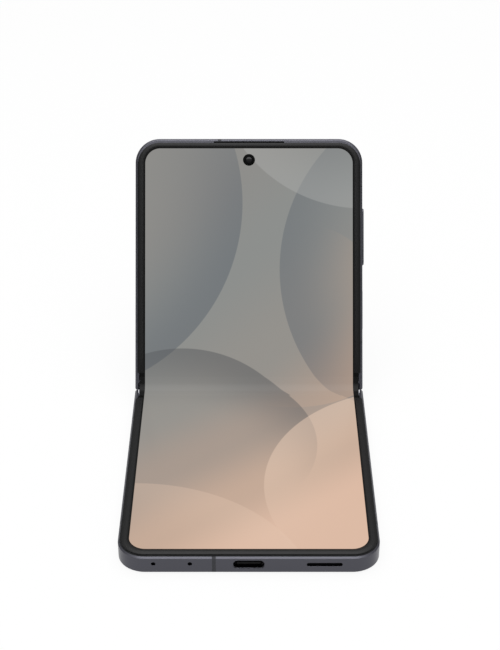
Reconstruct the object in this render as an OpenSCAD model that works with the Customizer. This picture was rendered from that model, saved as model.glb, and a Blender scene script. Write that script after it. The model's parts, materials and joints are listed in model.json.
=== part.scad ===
// Foldable smartphone, clamshell form, standing half open.
// Row frame: origin at the centre of the lower half's back face, z = 0 is the table, the hinge runs along X.
// Both halves are written in the open phone's own frame, with the hinge centre line at y = 0, the lower half
// at negative y and the display's surface at z = 0. in_lower(), in_spine() and in_upper() then fold them.

/* [Body] */
// Width of the phone
body_w = 75.2; // [72:0.1:80]
// Length of each half, from the hinge's centre line to its end
half_l = 83.35; // [80:0.05:90]
// Thickness of each half, from its back to the display's surface
body_t = 6.5; // [6.3:0.05:7.5]
// Radius of the outer corners in plan
corner_r = 8; // [5:0.5:9]
// Chamfer along the frame's display side
edge_chamfer = 0.65; // [0.3:0.05:0.8]
// Chamfer along the frame's back side
back_chamfer = 0.6; // [0.3:0.05:0.8]
// Radius of each frame's corners beside the hinge, in plan
tip_r = 0.7; // [0.3:0.1:0.8]
// Frame wall beside the display
wall_t = 1; // [0.9:0.05:1.2]
// Frame wall around the parts inside
inner_wall_t = 2.4; // [2:0.1:3]
// Frame wall at the far end of each half
end_wall_t = 1.6; // [1.4:0.1:2.2]
// Inner angle between the two displays as the phone stands
fold_angle = 123; // [60:1:179]
// Thickness of the back glass and of the cover glass
glass_t = 0.55; // [0.4:0.05:0.6]
// Frame rim left around the back glass
glass_rim = 1.1; // [1.05:0.05:1.6]
// Distance of the glass from the hinge's centre line
glass_start = 1.6; // [1:0.1:4]

/* [Display] */
// Thickness of the folding display
panel_t = 0.6; // [0.5:0.05:0.7]
// Gap between the display's edge and the frame
panel_gap = 0.4; // [0.3:0.05:0.6]
// Thickness of the steel plate behind the display
plate_t = 0.4; // [0.3:0.05:0.4]
// Thickness of the frame's middle plate
mid_t = 0.6; // [0.5:0.05:0.9]
// Width of the frame's rim that shows beside the bezel
rim_w = 0.82; // [0.7:0.02:0.9]
// Width of the rim above the display, where the earpiece is
top_rim_w = 1.48; // [1.4:0.02:1.6]
// Depth of the rim below the display's surface
rim_drop = 0.45; // [0.1:0.05:0.5]
// Width of the black border, from the bezel's outer edge to the lit area
bezel_w = 2.2; // [1.8:0.1:3]
// Height of the bezel above the display
bezel_h = 0.3; // [0.2:0.02:0.32]
// Corner radius of the lit area
lit_r = 5; // [3:0.5:6]
// Distance from the hinge at which the raised bezel ends
bezel_start = 5.8; // [5.6:0.1:8]
// Radius of the crease as the phone stands
crease_r = 3.5; // [2.5:0.1:4]
// Half the length of the display strip that bends
fold_half = 4.5; // [4.3:0.1:5]

/* [Hinge] */
// Distance of each fold axis from the hinge's centre line
axis_y = 1.9; // [1.85:0.01:1.95]
// Depth of the fold axes below the display's surface
axis_z = 1.55; // [1.5:0.01:1.6]
// Outer radius of the spine cover about each fold axis
spine_r = 3.9; // [3.85:0.01:3.95]
// Wall of the spine cover
spine_wall = 0.8; // [0.75:0.05:0.85]
// Thickness of the spine's end caps
cap_t = 0.8; // [0.6:0.1:1.5]
// Depth of the pocket in each half that takes the spine
pocket_l = 6.2; // [6.1:0.1:7]
// Wall of the frame behind the hinge pocket
hinge_wall = 0.9; // [0.7:0.1:1.5]
// Gap between the frames' ends along the hinge
end_gap = 0.3; // [0.2:0.02:0.4]
// Sheet of the frame that carries the glass over the hinge
lip_t = 0.35; // [0.3:0.05:0.4]
// Thickness of the bed under the crease
bed_t = 0.5; // [0.4:0.05:0.6]
// Half the width of the bed
bed_half = 3.4; // [3.2:0.05:3.5]
// Gap between the bed's ends and the hinge modules
bed_end_gap = 0.7; // [0.3:0.1:2]
// How far the bed sinks when the phone is closed
bed_drop = 2.25; // [2:0.05:2.3]

/* [Hinge gears] */
// Distance of each hinge module's outer end from the spine's end cap
module_margin = 3.1; // [1:0.1:4]
// Cheek at each end of a hinge module
cheek_w = 0.6; // [0.5:0.1:1]
// Width of each guide rail
rail_w = 1.8; // [1.4:0.1:2.2]
// Width of each toothed ring
ring_w = 1.6; // [1.2:0.1:2]
// Width in which all four pinions mesh
mesh_w = 1.4; // [1:0.1:2]
// Size of the teeth: pitch diameter per tooth
tooth_module = 0.175; // [0.174:0.001:0.176]
// Teeth on each pinion
pinion_teeth = 8;
// Teeth that a whole toothed ring would have
ring_teeth = 33;
// Height of a tooth above the pitch line
addendum = 0.13; // [0.1:0.01:0.15]
// Depth of a tooth below the pitch line
dedendum = 0.17; // [0.16:0.01:0.18]
// Play between meshing teeth
backlash = 0.04; // [0.03:0.01:0.06]
// Outer radius of the guide rails
rail_r1 = 3.4; // [3.38:0.01:3.42]
// Inner radius of the guide rails
rail_r0 = 2.8; // [2.78:0.01:2.85]
// Angle that each rail reaches past the vertical under its axis
rail_reach = 85; // [80:1:86]
// Radius of the pinion shafts
shaft_r = 0.2; // [0.18:0.01:0.2]
// Radius of the posts that guide the bed
post_r = 0.4; // [0.3:0.05:0.45]

/* [Ports] */
// Width of the USB-C opening
usb_w = 8.9; // [8.6:0.05:9.2]
// Height of the USB-C opening
usb_h = 2.64; // [2.56:0.02:2.8]
// Depth of the USB-C socket
usb_depth = 6.2; // [5.5:0.1:7]
// Sheet thickness of the USB-C shell
usb_sheet = 0.2; // [0.15:0.05:0.2]
// Depth of the ports' centre below the display's surface
port_z = 3.2; // [3.15:0.05:3.25]
// Place of the loudspeaker slot along the end
speaker_x = 21.5; // [18:0.5:24]
// Length of the loudspeaker slot
speaker_w = 10.2; // [6:0.2:12]
// Height of the loudspeaker slot
speaker_h = 1.3; // [0.8:0.1:1.4]
// Places of the two microphone holes along the end
mic_x = [-27.06, -16.7];
// Radius of a microphone hole
mic_r = 0.64; // [0.4:0.02:0.7]
// How far the microphone holes lie above the ports' centre
mic_rise = 0.25; // [0:0.05:0.3]
// Length of the earpiece slot
earpiece_w = 23.3; // [15:0.1:26]
// Width of the earpiece slot
earpiece_h = 0.5; // [0.4:0.05:0.55]
// Depth of the earpiece slot below the rim
earpiece_depth = 0.6; // [0.4:0.1:1]

/* [Keys] */
// Distance of the side key's centre from the hinge
key_y = 26.7; // [24:0.1:28]
// Length of the side key
key_l = 13.5; // [10:0.5:16]
// Place of the volume rocker's centre along its half, as a share of the half's length
rocker_place = 0.6114; // [0.6:0.0002:0.64]
// Length of the volume rocker
rocker_l = 18.85; // [14:0.05:21]
// Height of both keys across the frame
key_h = 2.2; // [1.8:0.1:2.4]
// How far the side key stands out
key_out = 0.15; // [0.1:0.05:0.3]
// How far the volume rocker stands out
rocker_out = 0.6; // [0.4:0.05:0.7]
// Thickness of the flange that keeps a key in the frame
flange_t = 0.4; // [0.3:0.05:0.5]
// How far a flange reaches past its key's outline
flange_lip = 0.4; // [0.3:0.05:0.4]

/* [SIM tray] */
// Distance of the SIM tray's centre from the hinge
sim_y = 30; // [26:0.5:34]
// Length of the tray's face
sim_face_l = 15.4; // [15:0.1:17]
// Height of the tray's face
sim_face_h = 2; // [1.8:0.1:2.4]
// Thickness of the tray's face
sim_face_t = 0.9; // [0.7:0.05:1]
// Length of the card carrier along the side
sim_card_l = 12.8; // [12.5:0.1:13]
// Depth of the card carrier into the phone
sim_depth = 11.5; // [10:0.5:12]
// Thickness of the card carrier
sim_card_t = 0.9; // [0.8:0.05:1]
// Radius of the eject hole
eject_r = 0.4; // [0.35:0.05:0.5]

/* [Cameras] */
// Distance of the selfie camera from the upper end
selfie_end = 7.05; // [6.5:0.05:8]
// Radius of the punch hole in the display
punch_r = 2; // [1.6:0.05:2.3]
// Distance of the rear cameras from the upper end
camera_end = 14.5; // [14:0.1:16]
// Distance of the outer rear camera from the phone's side
camera_side = 12.2; // [11:0.1:14]
// Distance between the two rear cameras
camera_pitch = 15.4; // [13:0.1:17]
// Outer radius of a camera ring
camera_r = 6.2; // [5.5:0.1:6.5]
// How far a camera ring stands out of the cover glass
camera_out = 0.9; // [0.5:0.1:1.2]
// Radius of the glass in a camera ring
lens_r = 5.2; // [4.6:0.1:5.4]
// Thickness of the display on the cover
cover_t = 0.45; // [0.3:0.05:0.5]
// Radius of the flash
flash_r = 1.6; // [1.2:0.1:2]
// Distance of the flash from the inner rear camera
flash_pitch = 11; // [9:0.5:13]

/* [Inside] */
// Distance of the batteries from the hinge
battery_start = 14.5; // [14.2:0.1:16]
// Gap between a battery and the circuit board beside it
battery_gap = 2; // [1:0.5:4]
// Thickness of the batteries
battery_t = 3.4; // [2.5:0.1:3.5]
// Length of each half's part that the circuit boards take
board_l = 29.75; // [28:0.25:31]
// Thickness of a circuit board
board_t = 0.6; // [0.5:0.05:0.8]
// Outer radius of the charging coil
coil_r = 15.5; // [12:0.5:17]
// Width of the charging coil's winding
coil_w = 5; // [3:0.5:8]
// Width of a closing magnet
magnet_w = 1.8; // [1.2:0.1:1.9]
// Length of a closing magnet
magnet_l = 8; // [5:0.5:9]
// Gap between the closing magnets and the end wall
magnet_gap = 6.75; // [6:0.25:9]
// Width of the microphone capsules
capsule_w = 2.8; // [2:0.1:3.5]
// Length of the microphone capsules
capsule_l = 2.5; // [2:0.1:2.8]

/* [Fits] */
// Gap around a key or the SIM tray in its slot
slot_gap = 0.1; // [0.08:0.01:0.15]
// Gap between neighbouring moving pieces of the hinge
side_gap = 0.1; // [0.08:0.01:0.12]
// Radial play of a pinion on its shaft and of the bed on its posts
bore_play = 0.04; // [0.03:0.01:0.06]
// Gap around inner pieces that only lie in their place
lay_gap = 0.15; // [0.1:0.01:0.2]

/* [Hidden] */
$fn = 64;
half_fold = (180 - fold_angle) / 2;
thin = 0.01;
big = 2 * half_l;
frame_x = body_w / 2;
well_x = frame_x - wall_t;
panel_x = well_x - panel_gap;
panel_end = half_l - wall_t - panel_gap;
bezel_x = frame_x - rim_w;
bezel_end = half_l - rim_w;
top_extra = top_rim_w - rim_w;
earpiece_y = half_l - (top_rim_w + rim_w) / 2;
earpiece_z = -rim_drop - earpiece_depth;
lit_x = bezel_x - bezel_w;
lit_end = bezel_end - bezel_w;
cavity_x = frame_x - inner_wall_t;
cavity_start = pocket_l + hinge_wall;
cavity_end = half_l - end_wall_t;
plate_z = -panel_t - plate_t;
mid_z = plate_z - mid_t;
glass_z = -body_t + glass_t;
lip_z = glass_z + lip_t;
glass_x = frame_x - glass_rim;
spine_x = well_x - side_gap;
spine_top = plate_z - 2 * side_gap;
channel_r = spine_r - spine_wall;
channel_z = -axis_z - channel_r;
sweep_gap = 0.05;
frame_tip_r = axis_y - end_gap / 2;
bulb_half = 2.25;
bulb_z = -2.9;
ledge_w = 0.3;
ledge_start = axis_y + 0.45;
band_w = 1.1;
band_from_end = 15.5;
band_from_hinge = 16;
bottom_band_x = -9.9;
top_band_x = -9.75;
screw_head_r = 0.9;
screw_head_h = 0.35;
screw_r = 0.5;
// where each range of a hinge module starts, from its inner end outwards
range_w = [cheek_w, rail_w, ring_w, mesh_w, ring_w, rail_w, cheek_w];
module_w = 2 * (cheek_w + rail_w + ring_w) + mesh_w;
module_x = spine_x - cap_t - module_margin - module_w;
bed_l = module_x - bed_end_gap;
function sum_to(i) = i == 0 ? module_x : sum_to(i - 1) + range_w[i - 1];
range_x = [for (i = [0 : len(range_w)]) sum_to(i)];
pinion_pitch_r = tooth_module * pinion_teeth / 2;
ring_pitch_r = tooth_module * ring_teeth / 2;
pinion_y = [-3, -1, 1, 3] * pinion_pitch_r;
pinion_z = -axis_z - sqrt(pow(ring_pitch_r - pinion_pitch_r, 2) - pow(pinion_y[3] - axis_y, 2));
pinion_pocket_r = pinion_pitch_r + addendum + side_gap;
pinion_step = 360 / pinion_teeth;
ring_step = 360 / ring_teeth;
gear_ratio = ring_teeth / pinion_teeth;
// directions of the two ring meshes, and each pinion's tooth angle in the open phone
mesh_a = atan2(pinion_z + axis_z, pinion_y[0] + axis_y);
mesh_b = atan2(pinion_z + axis_z, pinion_y[3] - axis_y);
phase_1 = mesh_a;
phase_2 = 180 - phase_1 + pinion_step / 2;
phase_3 = 180 - phase_2 + pinion_step / 2;
phase_4 = 180 - phase_3 + pinion_step / 2;
ring_b_gap = mesh_b + (phase_4 - mesh_b) / gear_ratio;
foot_z = mid_z - 0.05;
neck_z = -2.3;
neck_top = plate_z - side_gap;
foot_start = 7.6;
foot_end = 13;
foot_t = 0.65;
window_gap = 0.1;
cable_x = [3, 15];
cable_t = 0.15;
cable_sag = 1.1;
cable_end = 2;
cable_window_z = -3.1;
post_inset = 2.5;
post_x = [-1, 0, 1] * (bed_l - post_inset);
post_y = 2.65;
post_top = -0.75;
battery_top = mid_z - lay_gap;
speaker_half = 0.75 * speaker_w;
board_start = cavity_end - board_l;
battery_end = board_start - battery_gap;
magnet_end = cavity_end - magnet_gap;
motor_w = 12;
motor_l = 7;
can_gap = 1;
board_z = -4.8;
board_x = cavity_x - magnet_w - 2 * lay_gap;
key_z = -port_z;
flange_x = cavity_x - 0.1;
rocker_flange_x = cavity_x - 0.45;
rocker_y = rocker_place * half_l;
selfie_y = half_l - selfie_end;
selfie_half = 2.6;
camera_y = half_l - camera_end;
lens_t = 0.6;
lens_z = -body_t - camera_out + lay_gap;
camera_x = [camera_side - frame_x, camera_side + camera_pitch - frame_x];
flash_x = camera_x[1] + flash_pitch;
barrel_r = punch_r - 0.1;
rock_clear = 0.25;

// ---- placing ----

// turns its children about an axis along X through y, z
module about(y, z, angle) {
    translate([0, y, z]) rotate([angle, 0, 0]) translate([0, -y, -z]) children();
}
module in_lower() {
    translate([0, half_l / 2, body_t]) children();
}
module in_spine() {
    in_lower() about(-axis_y, -axis_z, half_fold) children();
}
module in_upper() {
    in_spine() about(axis_y, -axis_z, half_fold) children();
}
// the upper half's shared pieces are the lower half's, mirrored across the hinge
module across() {
    mirror([0, 1, 0]) children();
}
module both_sides() {
    for (side = [0, 1]) mirror([side, 0, 0]) children();
}

// ---- plain shapes ----

module block(x, y, z) {
    translate([x[0], y[0], z[0]]) cube([x[1] - x[0], y[1] - y[0], z[1] - z[0]]);
}
// extrudes a shape drawn in y and z along X
module along_x(x0, x1) {
    translate([x0, 0, 0]) rotate([90, 0, 90]) linear_extrude(x1 - x0) children();
}
// extrudes a shape drawn in x and z along Y
module along_y(y0, y1) {
    translate([0, y1, 0]) rotate([90, 0, 0]) linear_extrude(y1 - y0) children();
}
module rod_z(x, y, z0, z1, r) {
    translate([x, y, z0]) cylinder(h = z1 - z0, r = r);
}
module stadium(l, h) {
    for (end = [-1, 1]) translate([end * (l - h) / 2, 0]) circle(h / 2);
    square([l - h, h], center = true);
}
// half outline of a slab's edge: from h0 out to h1, with a chamfer at the bottom and at the top
function edge_outline(h0, h1, z0, z1, low, high) = concat(
    [[h0, z0]],
    low > 0 ? [[h1 - low, z0], [h1, z0 + low]] : [[h1, z0]],
    high > 0 ? [[h1, z1 - high], [h1 - high, z1]] : [[h1, z1]],
    [[h0, z1]]
);
// a slab of the lower half: square at its hinge end y = -start, round corners at its far end y = -end
module slab(half_w, start, end, r, z0, z1, low = 0, high = 0) {
    both_sides() {
        translate([half_w - r, r - end, 0]) rotate_extrude() polygon(edge_outline(0, r, z0, z1, low, high));
        along_y(r - end, -start) polygon(edge_outline(0, half_w, z0, z1, low, high));
        along_x(0, half_w - r) mirror([1, 0, 0]) polygon(edge_outline(end - 2 * r, end, z0, z1, low, high));
    }
}

// ---- the frames ----

// everything past this radius about the half's own fold axis would meet the other half in the fold; the corners
// left are rounded
module tip_cut() {
    along_x(-body_w, body_w) difference() {
        translate([-axis_y, -axis_z]) square([2 * axis_y, body_t]);
        translate([-axis_y, -axis_z]) circle(frame_tip_r);
    }
    block([-body_w, body_w], [-end_gap / 2, axis_y], [-2 * body_t, body_t]);
    both_sides() difference() {
        block([frame_x - tip_r, frame_x + thin], [-end_gap / 2 - tip_r, thin], [-body_t - thin, thin]);
        rod_z(frame_x - tip_r, -end_gap / 2 - tip_r, -body_t - 2 * thin, 2 * thin, tip_r);
    }
}
module frame_blank() {
    difference() {
        slab(frame_x, 0, half_l, corner_r, -body_t, -rim_drop, back_chamfer, edge_chamfer);
        tip_cut();
    }
}
module neck_window() {
    along_x(range_x[1] - window_gap, range_x[6] + window_gap)
        translate([-foot_start - window_gap, neck_z - window_gap])
            square([foot_start + window_gap - pocket_l + thin, plate_z - neck_z + window_gap + thin]);
}
module cable_window() {
    block(cable_x, [-cavity_start - thin, -pocket_l + thin], [cable_window_z, mid_z - thin]);
}
// extra widens the rim at the far end of a half, here and in the display stack
module half_frame(extra = 0) {
    difference() {
        frame_blank();
        slab(well_x, bezel_start, half_l - wall_t - extra, corner_r - wall_t, plate_z, thin);
        // a ledge on each side narrows the display's well beside the hinge
        block([ledge_w - well_x, well_x - ledge_w], [-bezel_start - thin, thin], [plate_z, thin]);
        block([-well_x, well_x], [-pocket_l, thin], [lip_z, plate_z]);
        block([-well_x, well_x], [-ledge_start, thin], [plate_z - thin, body_t]);
        slab(cavity_x, cavity_start, cavity_end, corner_r - inner_wall_t, glass_z - thin, mid_z);
        slab(glass_x, glass_start, half_l - glass_rim, corner_r - glass_rim, -body_t - thin, glass_z);
        both_sides() neck_window();
        both_sides() cable_window();
        both_sides() for (x = screw_x()) rod_z(x, screw_y(), mid_z - thin, plate_z + thin, screw_r);
    }
}
function screw_x() = [range_x[1], range_x[6]];
function screw_y() = -(foot_start + foot_end) / 2;

module band_blocks(end_x) {
    for (y = [half_l - band_from_end, band_from_hinge], side = [-1, 1])
        block([side > 0 ? well_x - thin : -body_w, side > 0 ? body_w : thin - well_x],
              [-y - band_w / 2, band_w / 2 - y], [-body_t - thin, thin]);
    block([end_x - band_w / 2, end_x + band_w / 2], [-half_l - thin, wall_t - half_l],
          [-body_t - thin, thin]);
}
module antenna_bands(end_x, extra = 0) {
    intersection() {
        half_frame(extra);
        band_blocks(end_x);
    }
}

// ---- parts inside a half ----

// a block between two distances from the hinge, cut to the frame's cavity
module inner_block(x, from, to, z) {
    intersection() {
        slab(cavity_x - lay_gap, cavity_start, cavity_end - lay_gap, corner_r - inner_wall_t - lay_gap,
             z[0], z[1]);
        block(x, [-to, -from], z);
    }
}

// ---- display stack ----

// the panel's outline, grown by a gap, between two heights
module panel_slab(start, extra, grow, z0, z1) {
    slab(panel_x + grow, start, panel_end - extra + grow, corner_r - wall_t - panel_gap + grow, z0, z1);
}
// a raised border that lies on the panel's edge and stands around it on the frame's rim
module bezel_ring(extra = 0) {
    difference() {
        slab(bezel_x, bezel_start, bezel_end - extra, corner_r - rim_w, -rim_drop, bezel_h, 0, bezel_h / 3);
        slab(lit_x, -thin, lit_end, lit_r, -thin, bezel_h + thin);
        panel_slab(-thin, extra, lay_gap, -rim_drop - thin, 0);
    }
}
module display_half(extra = 0) {
    panel_slab(fold_half, extra, 0, -panel_t, 0);
}
module display_plate(extra = 0) {
    panel_slab(fold_half, extra, 0, plate_z, -panel_t);
}
module half_glass() {
    slab(glass_x - sweep_gap, glass_start + sweep_gap, half_l - glass_rim - sweep_gap,
         corner_r - glass_rim - sweep_gap, -body_t, glass_z, glass_t / 2);
}

// ---- lower half ----

module port_cut(x, w, h, rise = 0) {
    translate([x, 0, rise - port_z]) along_y(-half_l - thin, -cavity_end + thin) stadium(w, h);
}
module lower_frame() {
    color("#55565f") in_lower() difference() {
        half_frame();
        band_blocks(bottom_band_x);
        port_cut(0, usb_w, usb_h);
        // bright lip around the socket's mouth
        translate([0, 0, -port_z]) along_y(-half_l - thin, -half_l + usb_sheet)
            stadium(usb_w + 2 * usb_sheet, usb_h + 2 * usb_sheet);
        port_cut(speaker_x, speaker_w, speaker_h);
        for (x = mic_x) port_cut(x, 2 * mic_r + thin, 2 * mic_r, mic_rise);
    }
}
module lower_back_glass() {
    color("#5a5f6b") in_lower() half_glass();
}
module lower_antenna_bands() {
    color("#6a6a70") in_lower() antenna_bands(bottom_band_x);
}
module lower_bezel() {
    color("#2a2a2a") in_lower() bezel_ring();
}
module lower_display_plate() {
    color("#9a9a9a") in_lower() display_plate();
}
module display_lower() {
    color("#c8ae9c") in_lower() display_half();
}
module usb_shell() {
    color("#b8b8bc") in_lower() translate([0, 0, -port_z]) difference() {
        along_y(-cavity_end, usb_depth - cavity_end) stadium(usb_w + 2 * usb_sheet, usb_h + 2 * usb_sheet);
        along_y(-cavity_end - thin, usb_depth - cavity_end - usb_sheet) stadium(usb_w, usb_h);
    }
}
module usb_tongue() {
    tongue_half = 3.35;
    tongue_t = 0.7;
    color("#202020") in_lower()
        block([-tongue_half, tongue_half],
              [-half_l + end_wall_t / 2, usb_depth - cavity_end - usb_sheet],
              [-port_z - tongue_t / 2, tongue_t / 2 - port_z]);
}
module loudspeaker() {
    speaker_l = 13.6;
    color("#303030") in_lower()
        inner_block([speaker_x - speaker_half, speaker_x + speaker_half], cavity_end - speaker_l, cavity_end,
                    [board_z - board_t, battery_top]);
}
module speaker_mesh() {
    color("#1c1c1c") in_lower() translate([speaker_x, 0, -port_z])
        along_y(-half_l + end_wall_t / 2, -half_l + end_wall_t / 2 + 0.2) stadium(speaker_w, speaker_h);
}
module lower_microphones() {
    color("#c0c0c0") in_lower() for (x = mic_x)
        inner_block([x - capsule_w / 2, x + capsule_w / 2], cavity_end - capsule_l, cavity_end,
                    [board_z, 1 - port_z]);
}
module battery(x) {
    inner_block(x, battery_start, battery_end, [battery_top - battery_t, battery_top]);
}
module lower_battery() {
    color("#3c3f46") in_lower() battery([-cavity_x, cavity_x]);
}
module lower_board() {
    board_x1 = speaker_x - speaker_half - lay_gap;
    color("#1f5a3c") in_lower()
        inner_block([-board_x, board_x1], board_start, cavity_end, [board_z - board_t, board_z]);
}
module charging_coil() {
    coil_z = battery_top - battery_t;
    color("#b87333") in_lower() difference() {
        rod_z(0, -(battery_start + battery_end) / 2, glass_z + 0.1, coil_z, coil_r);
        rod_z(0, -(battery_start + battery_end) / 2, glass_z, coil_z + thin, coil_r - coil_w);
    }
}
module vibration_motor() {
    color("#a8a8a8") in_lower()
        inner_block([can_gap - board_x, can_gap - board_x + motor_w], board_start + motor_l,
                    board_start + 2 * motor_l, [board_z, battery_top - can_gap / 2]);
}
module closing_magnets() {
    both_sides() inner_block([cavity_x - magnet_w - lay_gap, cavity_x], magnet_end - magnet_l, magnet_end,
                             [board_z - board_t, battery_top]);
}
module lower_magnets() {
    color("#8c8c90") in_lower() closing_magnets();
}
module foot_screws() {
    both_sides() for (x = screw_x()) {
        rod_z(x, screw_y(), foot_z - foot_t, plate_z, screw_r);
        rod_z(x, screw_y(), foot_z - foot_t - screw_head_h, foot_z - foot_t, screw_head_r);
    }
}
module lower_screws() {
    color("#b0b0b4") in_lower() foot_screws();
}

// ---- upper half ----

// slot through the side wall, and a key that lies in it
module side_slot(y, l) {
    translate([0, y, key_z]) along_x(cavity_x - thin, body_w)
        stadium(l + 2 * slot_gap, key_h + 2 * slot_gap);
}
module side_button(y, l, out, flange) {
    translate([0, y, key_z]) {
        along_x(flange, frame_x + out) stadium(l, key_h);
        along_x(flange - flange_t, flange) stadium(l + 2 * flange_lip, key_h + 2 * flange_lip);
    }
}
module sim_slot() {
    translate([0, sim_y, key_z]) {
        along_x(-body_w, -frame_x + sim_face_t + slot_gap)
            stadium(sim_face_l + 2 * slot_gap, sim_face_h + 2 * slot_gap);
        block([-frame_x - thin, -cavity_x + thin],
              [-sim_card_l / 2 - slot_gap, sim_card_l / 2 + slot_gap],
              [-sim_card_t / 2 - slot_gap, sim_card_t / 2 + slot_gap]);
        translate([0, eject_y, 0]) along_x(-body_w, -cavity_x + thin) circle(eject_r);
    }
}
eject_y = (sim_card_l + sim_face_l) / 4 - sim_face_h / 8;
module side_slots() {
    side_slot(key_y, key_l);
    side_slot(rocker_y, rocker_l);
    sim_slot();
}
// a slot with round ends in the rim above the display
module earpiece_slot(gap, z0, z1) {
    r = earpiece_h / 2 - gap;
    reach = (earpiece_w - earpiece_h) / 2;
    block([-reach, reach], [earpiece_y - r, earpiece_y + r], [z0, z1]);
    for (x = [-reach, reach]) rod_z(x, earpiece_y, z0, z1, r);
}
module upper_frame() {
    color("#55565f") in_upper() difference() {
        across() half_frame(top_extra);
        across() band_blocks(top_band_x);
        side_slots();
        earpiece_slot(0, earpiece_z, thin);
        rod_z(0, selfie_y, mid_z - thin, plate_z + thin, punch_r);
    }
}
module cover_glass() {
    color("#3a3d45") in_upper() difference() {
        across() half_glass();
        for (x = camera_x) rod_z(x, camera_y, -body_t - thin, glass_z + thin, camera_r);
    }
}
module upper_antenna_bands() {
    color("#6a6a70") in_upper() difference() {
        across() antenna_bands(top_band_x, top_extra);
        side_slots();
        earpiece_slot(0, earpiece_z, thin);
    }
}
module upper_bezel() {
    color("#2a2a2a") in_upper() across() bezel_ring(top_extra);
}
module upper_display_plate() {
    color("#9a9a9a") in_upper() difference() {
        across() display_plate(top_extra);
        rod_z(0, selfie_y, plate_z - thin, -panel_t + thin, punch_r);
    }
}
module display_upper() {
    color("#9f9c95") in_upper() difference() {
        across() display_half(top_extra);
        rod_z(0, selfie_y, -panel_t - thin, thin, punch_r);
    }
}
module cover_display() {
    color("#101014") in_upper() difference() {
        across() inner_block([-cavity_x, cavity_x], cavity_start, cavity_end, [glass_z, glass_z + cover_t]);
        for (x = camera_x) rod_z(x, camera_y, glass_z - thin, glass_z + 1, camera_r + lay_gap);
        rod_z(flash_x, camera_y, glass_z - thin, glass_z + 1, flash_r + lay_gap);
    }
}
module camera_rings() {
    color("#4a4a50") in_upper() for (x = camera_x) difference() {
        rod_z(x, camera_y, -body_t - camera_out, glass_z + cover_t, camera_r - sweep_gap);
        rod_z(x, camera_y, -body_t - camera_out - thin, glass_z + 1, lens_r);
    }
}
module camera_lenses() {
    color("#0c0c12") in_upper() for (x = camera_x)
        rod_z(x, camera_y, lens_z, lens_z + lens_t, lens_r - sweep_gap);
}
module camera_modules() {
    color("#1a1a1e") in_upper() for (x = camera_x) {
        rod_z(x, camera_y, lens_z + lens_t, board_z, lens_r - 2 * sweep_gap);
        rod_z(x, camera_y, board_z, battery_top, lens_r - can_gap);
    }
}
module camera_flash() {
    color("#f0e8c0") in_upper() rod_z(flash_x, camera_y, glass_z, board_z - board_t, flash_r);
}
module selfie_camera() {
    color("#08080c") in_upper() {
        rod_z(0, selfie_y, board_z, -0.15, barrel_r);
        block([-selfie_half, selfie_half], [selfie_y - selfie_half, selfie_y + selfie_half],
              [board_z, battery_top]);
    }
}
module earpiece() {
    color("#303030") in_upper()
        across() inner_block([-earpiece_w / 4, earpiece_w / 4], cavity_end - capsule_l, cavity_end,
                             [board_z, battery_top]);
}
module earpiece_mesh() {
    color("#1c1c1c") in_upper() earpiece_slot(thin, earpiece_z, earpiece_z + earpiece_depth / 3);
}
module main_board() {
    color("#1f5a3c") in_upper() difference() {
        across() inner_block([-board_x, board_x], board_start, cavity_end, [board_z - board_t, board_z]);
        for (x = camera_x) rod_z(x, camera_y, board_z - 1, board_z + 1, lens_r + lay_gap);
        rod_z(flash_x, camera_y, board_z - 1, board_z + 1, flash_r - lay_gap);
    }
}
module shield_cans() {
    can_z = [board_z, battery_top - can_gap / 2];
    can_end = camera_y - lens_r - can_gap;
    color("#c8c8cc") in_upper() across() {
        inner_block([can_gap - board_x, -can_gap], board_start + can_gap, can_end, can_z);
        inner_block([can_gap, board_x - can_gap], board_start + can_gap, can_end, can_z);
        inner_block([max(flash_x + flash_r, selfie_half) + can_gap, board_x - can_gap], can_end + can_gap,
                    selfie_y, can_z);
    }
}
module upper_battery() {
    color("#3c3f46") in_upper() across()
        battery([sim_inner_x + side_room, cavity_x - side_room]);
}
sim_inner_x = -frame_x + sim_face_t + sim_depth;
// room for the SIM reader and for the key switches beside the upper battery
side_room = 3;
module volume_rocker() {
    color("#5c5d66") in_upper() side_button(rocker_y, rocker_l, rocker_out, rocker_flange_x);
}
module side_key() {
    color("#5c5d66") in_upper() side_button(key_y, key_l, key_out, flange_x);
}
module key_switches() {
    switch_t = 1;
    switch_size = [4, 2];
    side_key_gap = rock_clear + sweep_gap;
    color("#c0c0c0") in_upper() {
        translate([0, key_y, key_z])
            along_x(flange_x - flange_t - side_key_gap - switch_t, flange_x - flange_t - side_key_gap)
                square(switch_size, center = true);
        for (end = [-1, 1])
            translate([0, rocker_y + end * rocker_l / 4, key_z])
                along_x(rocker_flange_x - flange_t - rock_clear - switch_t,
                    rocker_flange_x - flange_t - rock_clear) square(switch_size, center = true);
    }
}
module sim_tray() {
    rim = 0.6;
    floor_t = 0.2;
    color("#55565f") in_upper() translate([0, sim_y, key_z]) difference() {
        union() {
            along_x(-frame_x, -frame_x + sim_face_t) stadium(sim_face_l, sim_face_h);
            block([-frame_x + sim_face_t / 2, sim_inner_x], [-sim_card_l / 2, sim_card_l / 2],
                  [-sim_card_t / 2, sim_card_t / 2]);
        }
        // open pocket for the card
        block([-frame_x + sim_face_t + 2 * rim, sim_inner_x - rim],
              [rim - sim_card_l / 2, sim_card_l / 2 - rim], [floor_t - sim_card_t / 2, body_t]);
        translate([0, eject_y, 0]) along_x(-body_w, -frame_x + sim_face_t + thin) circle(eject_r);
    }
}
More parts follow.
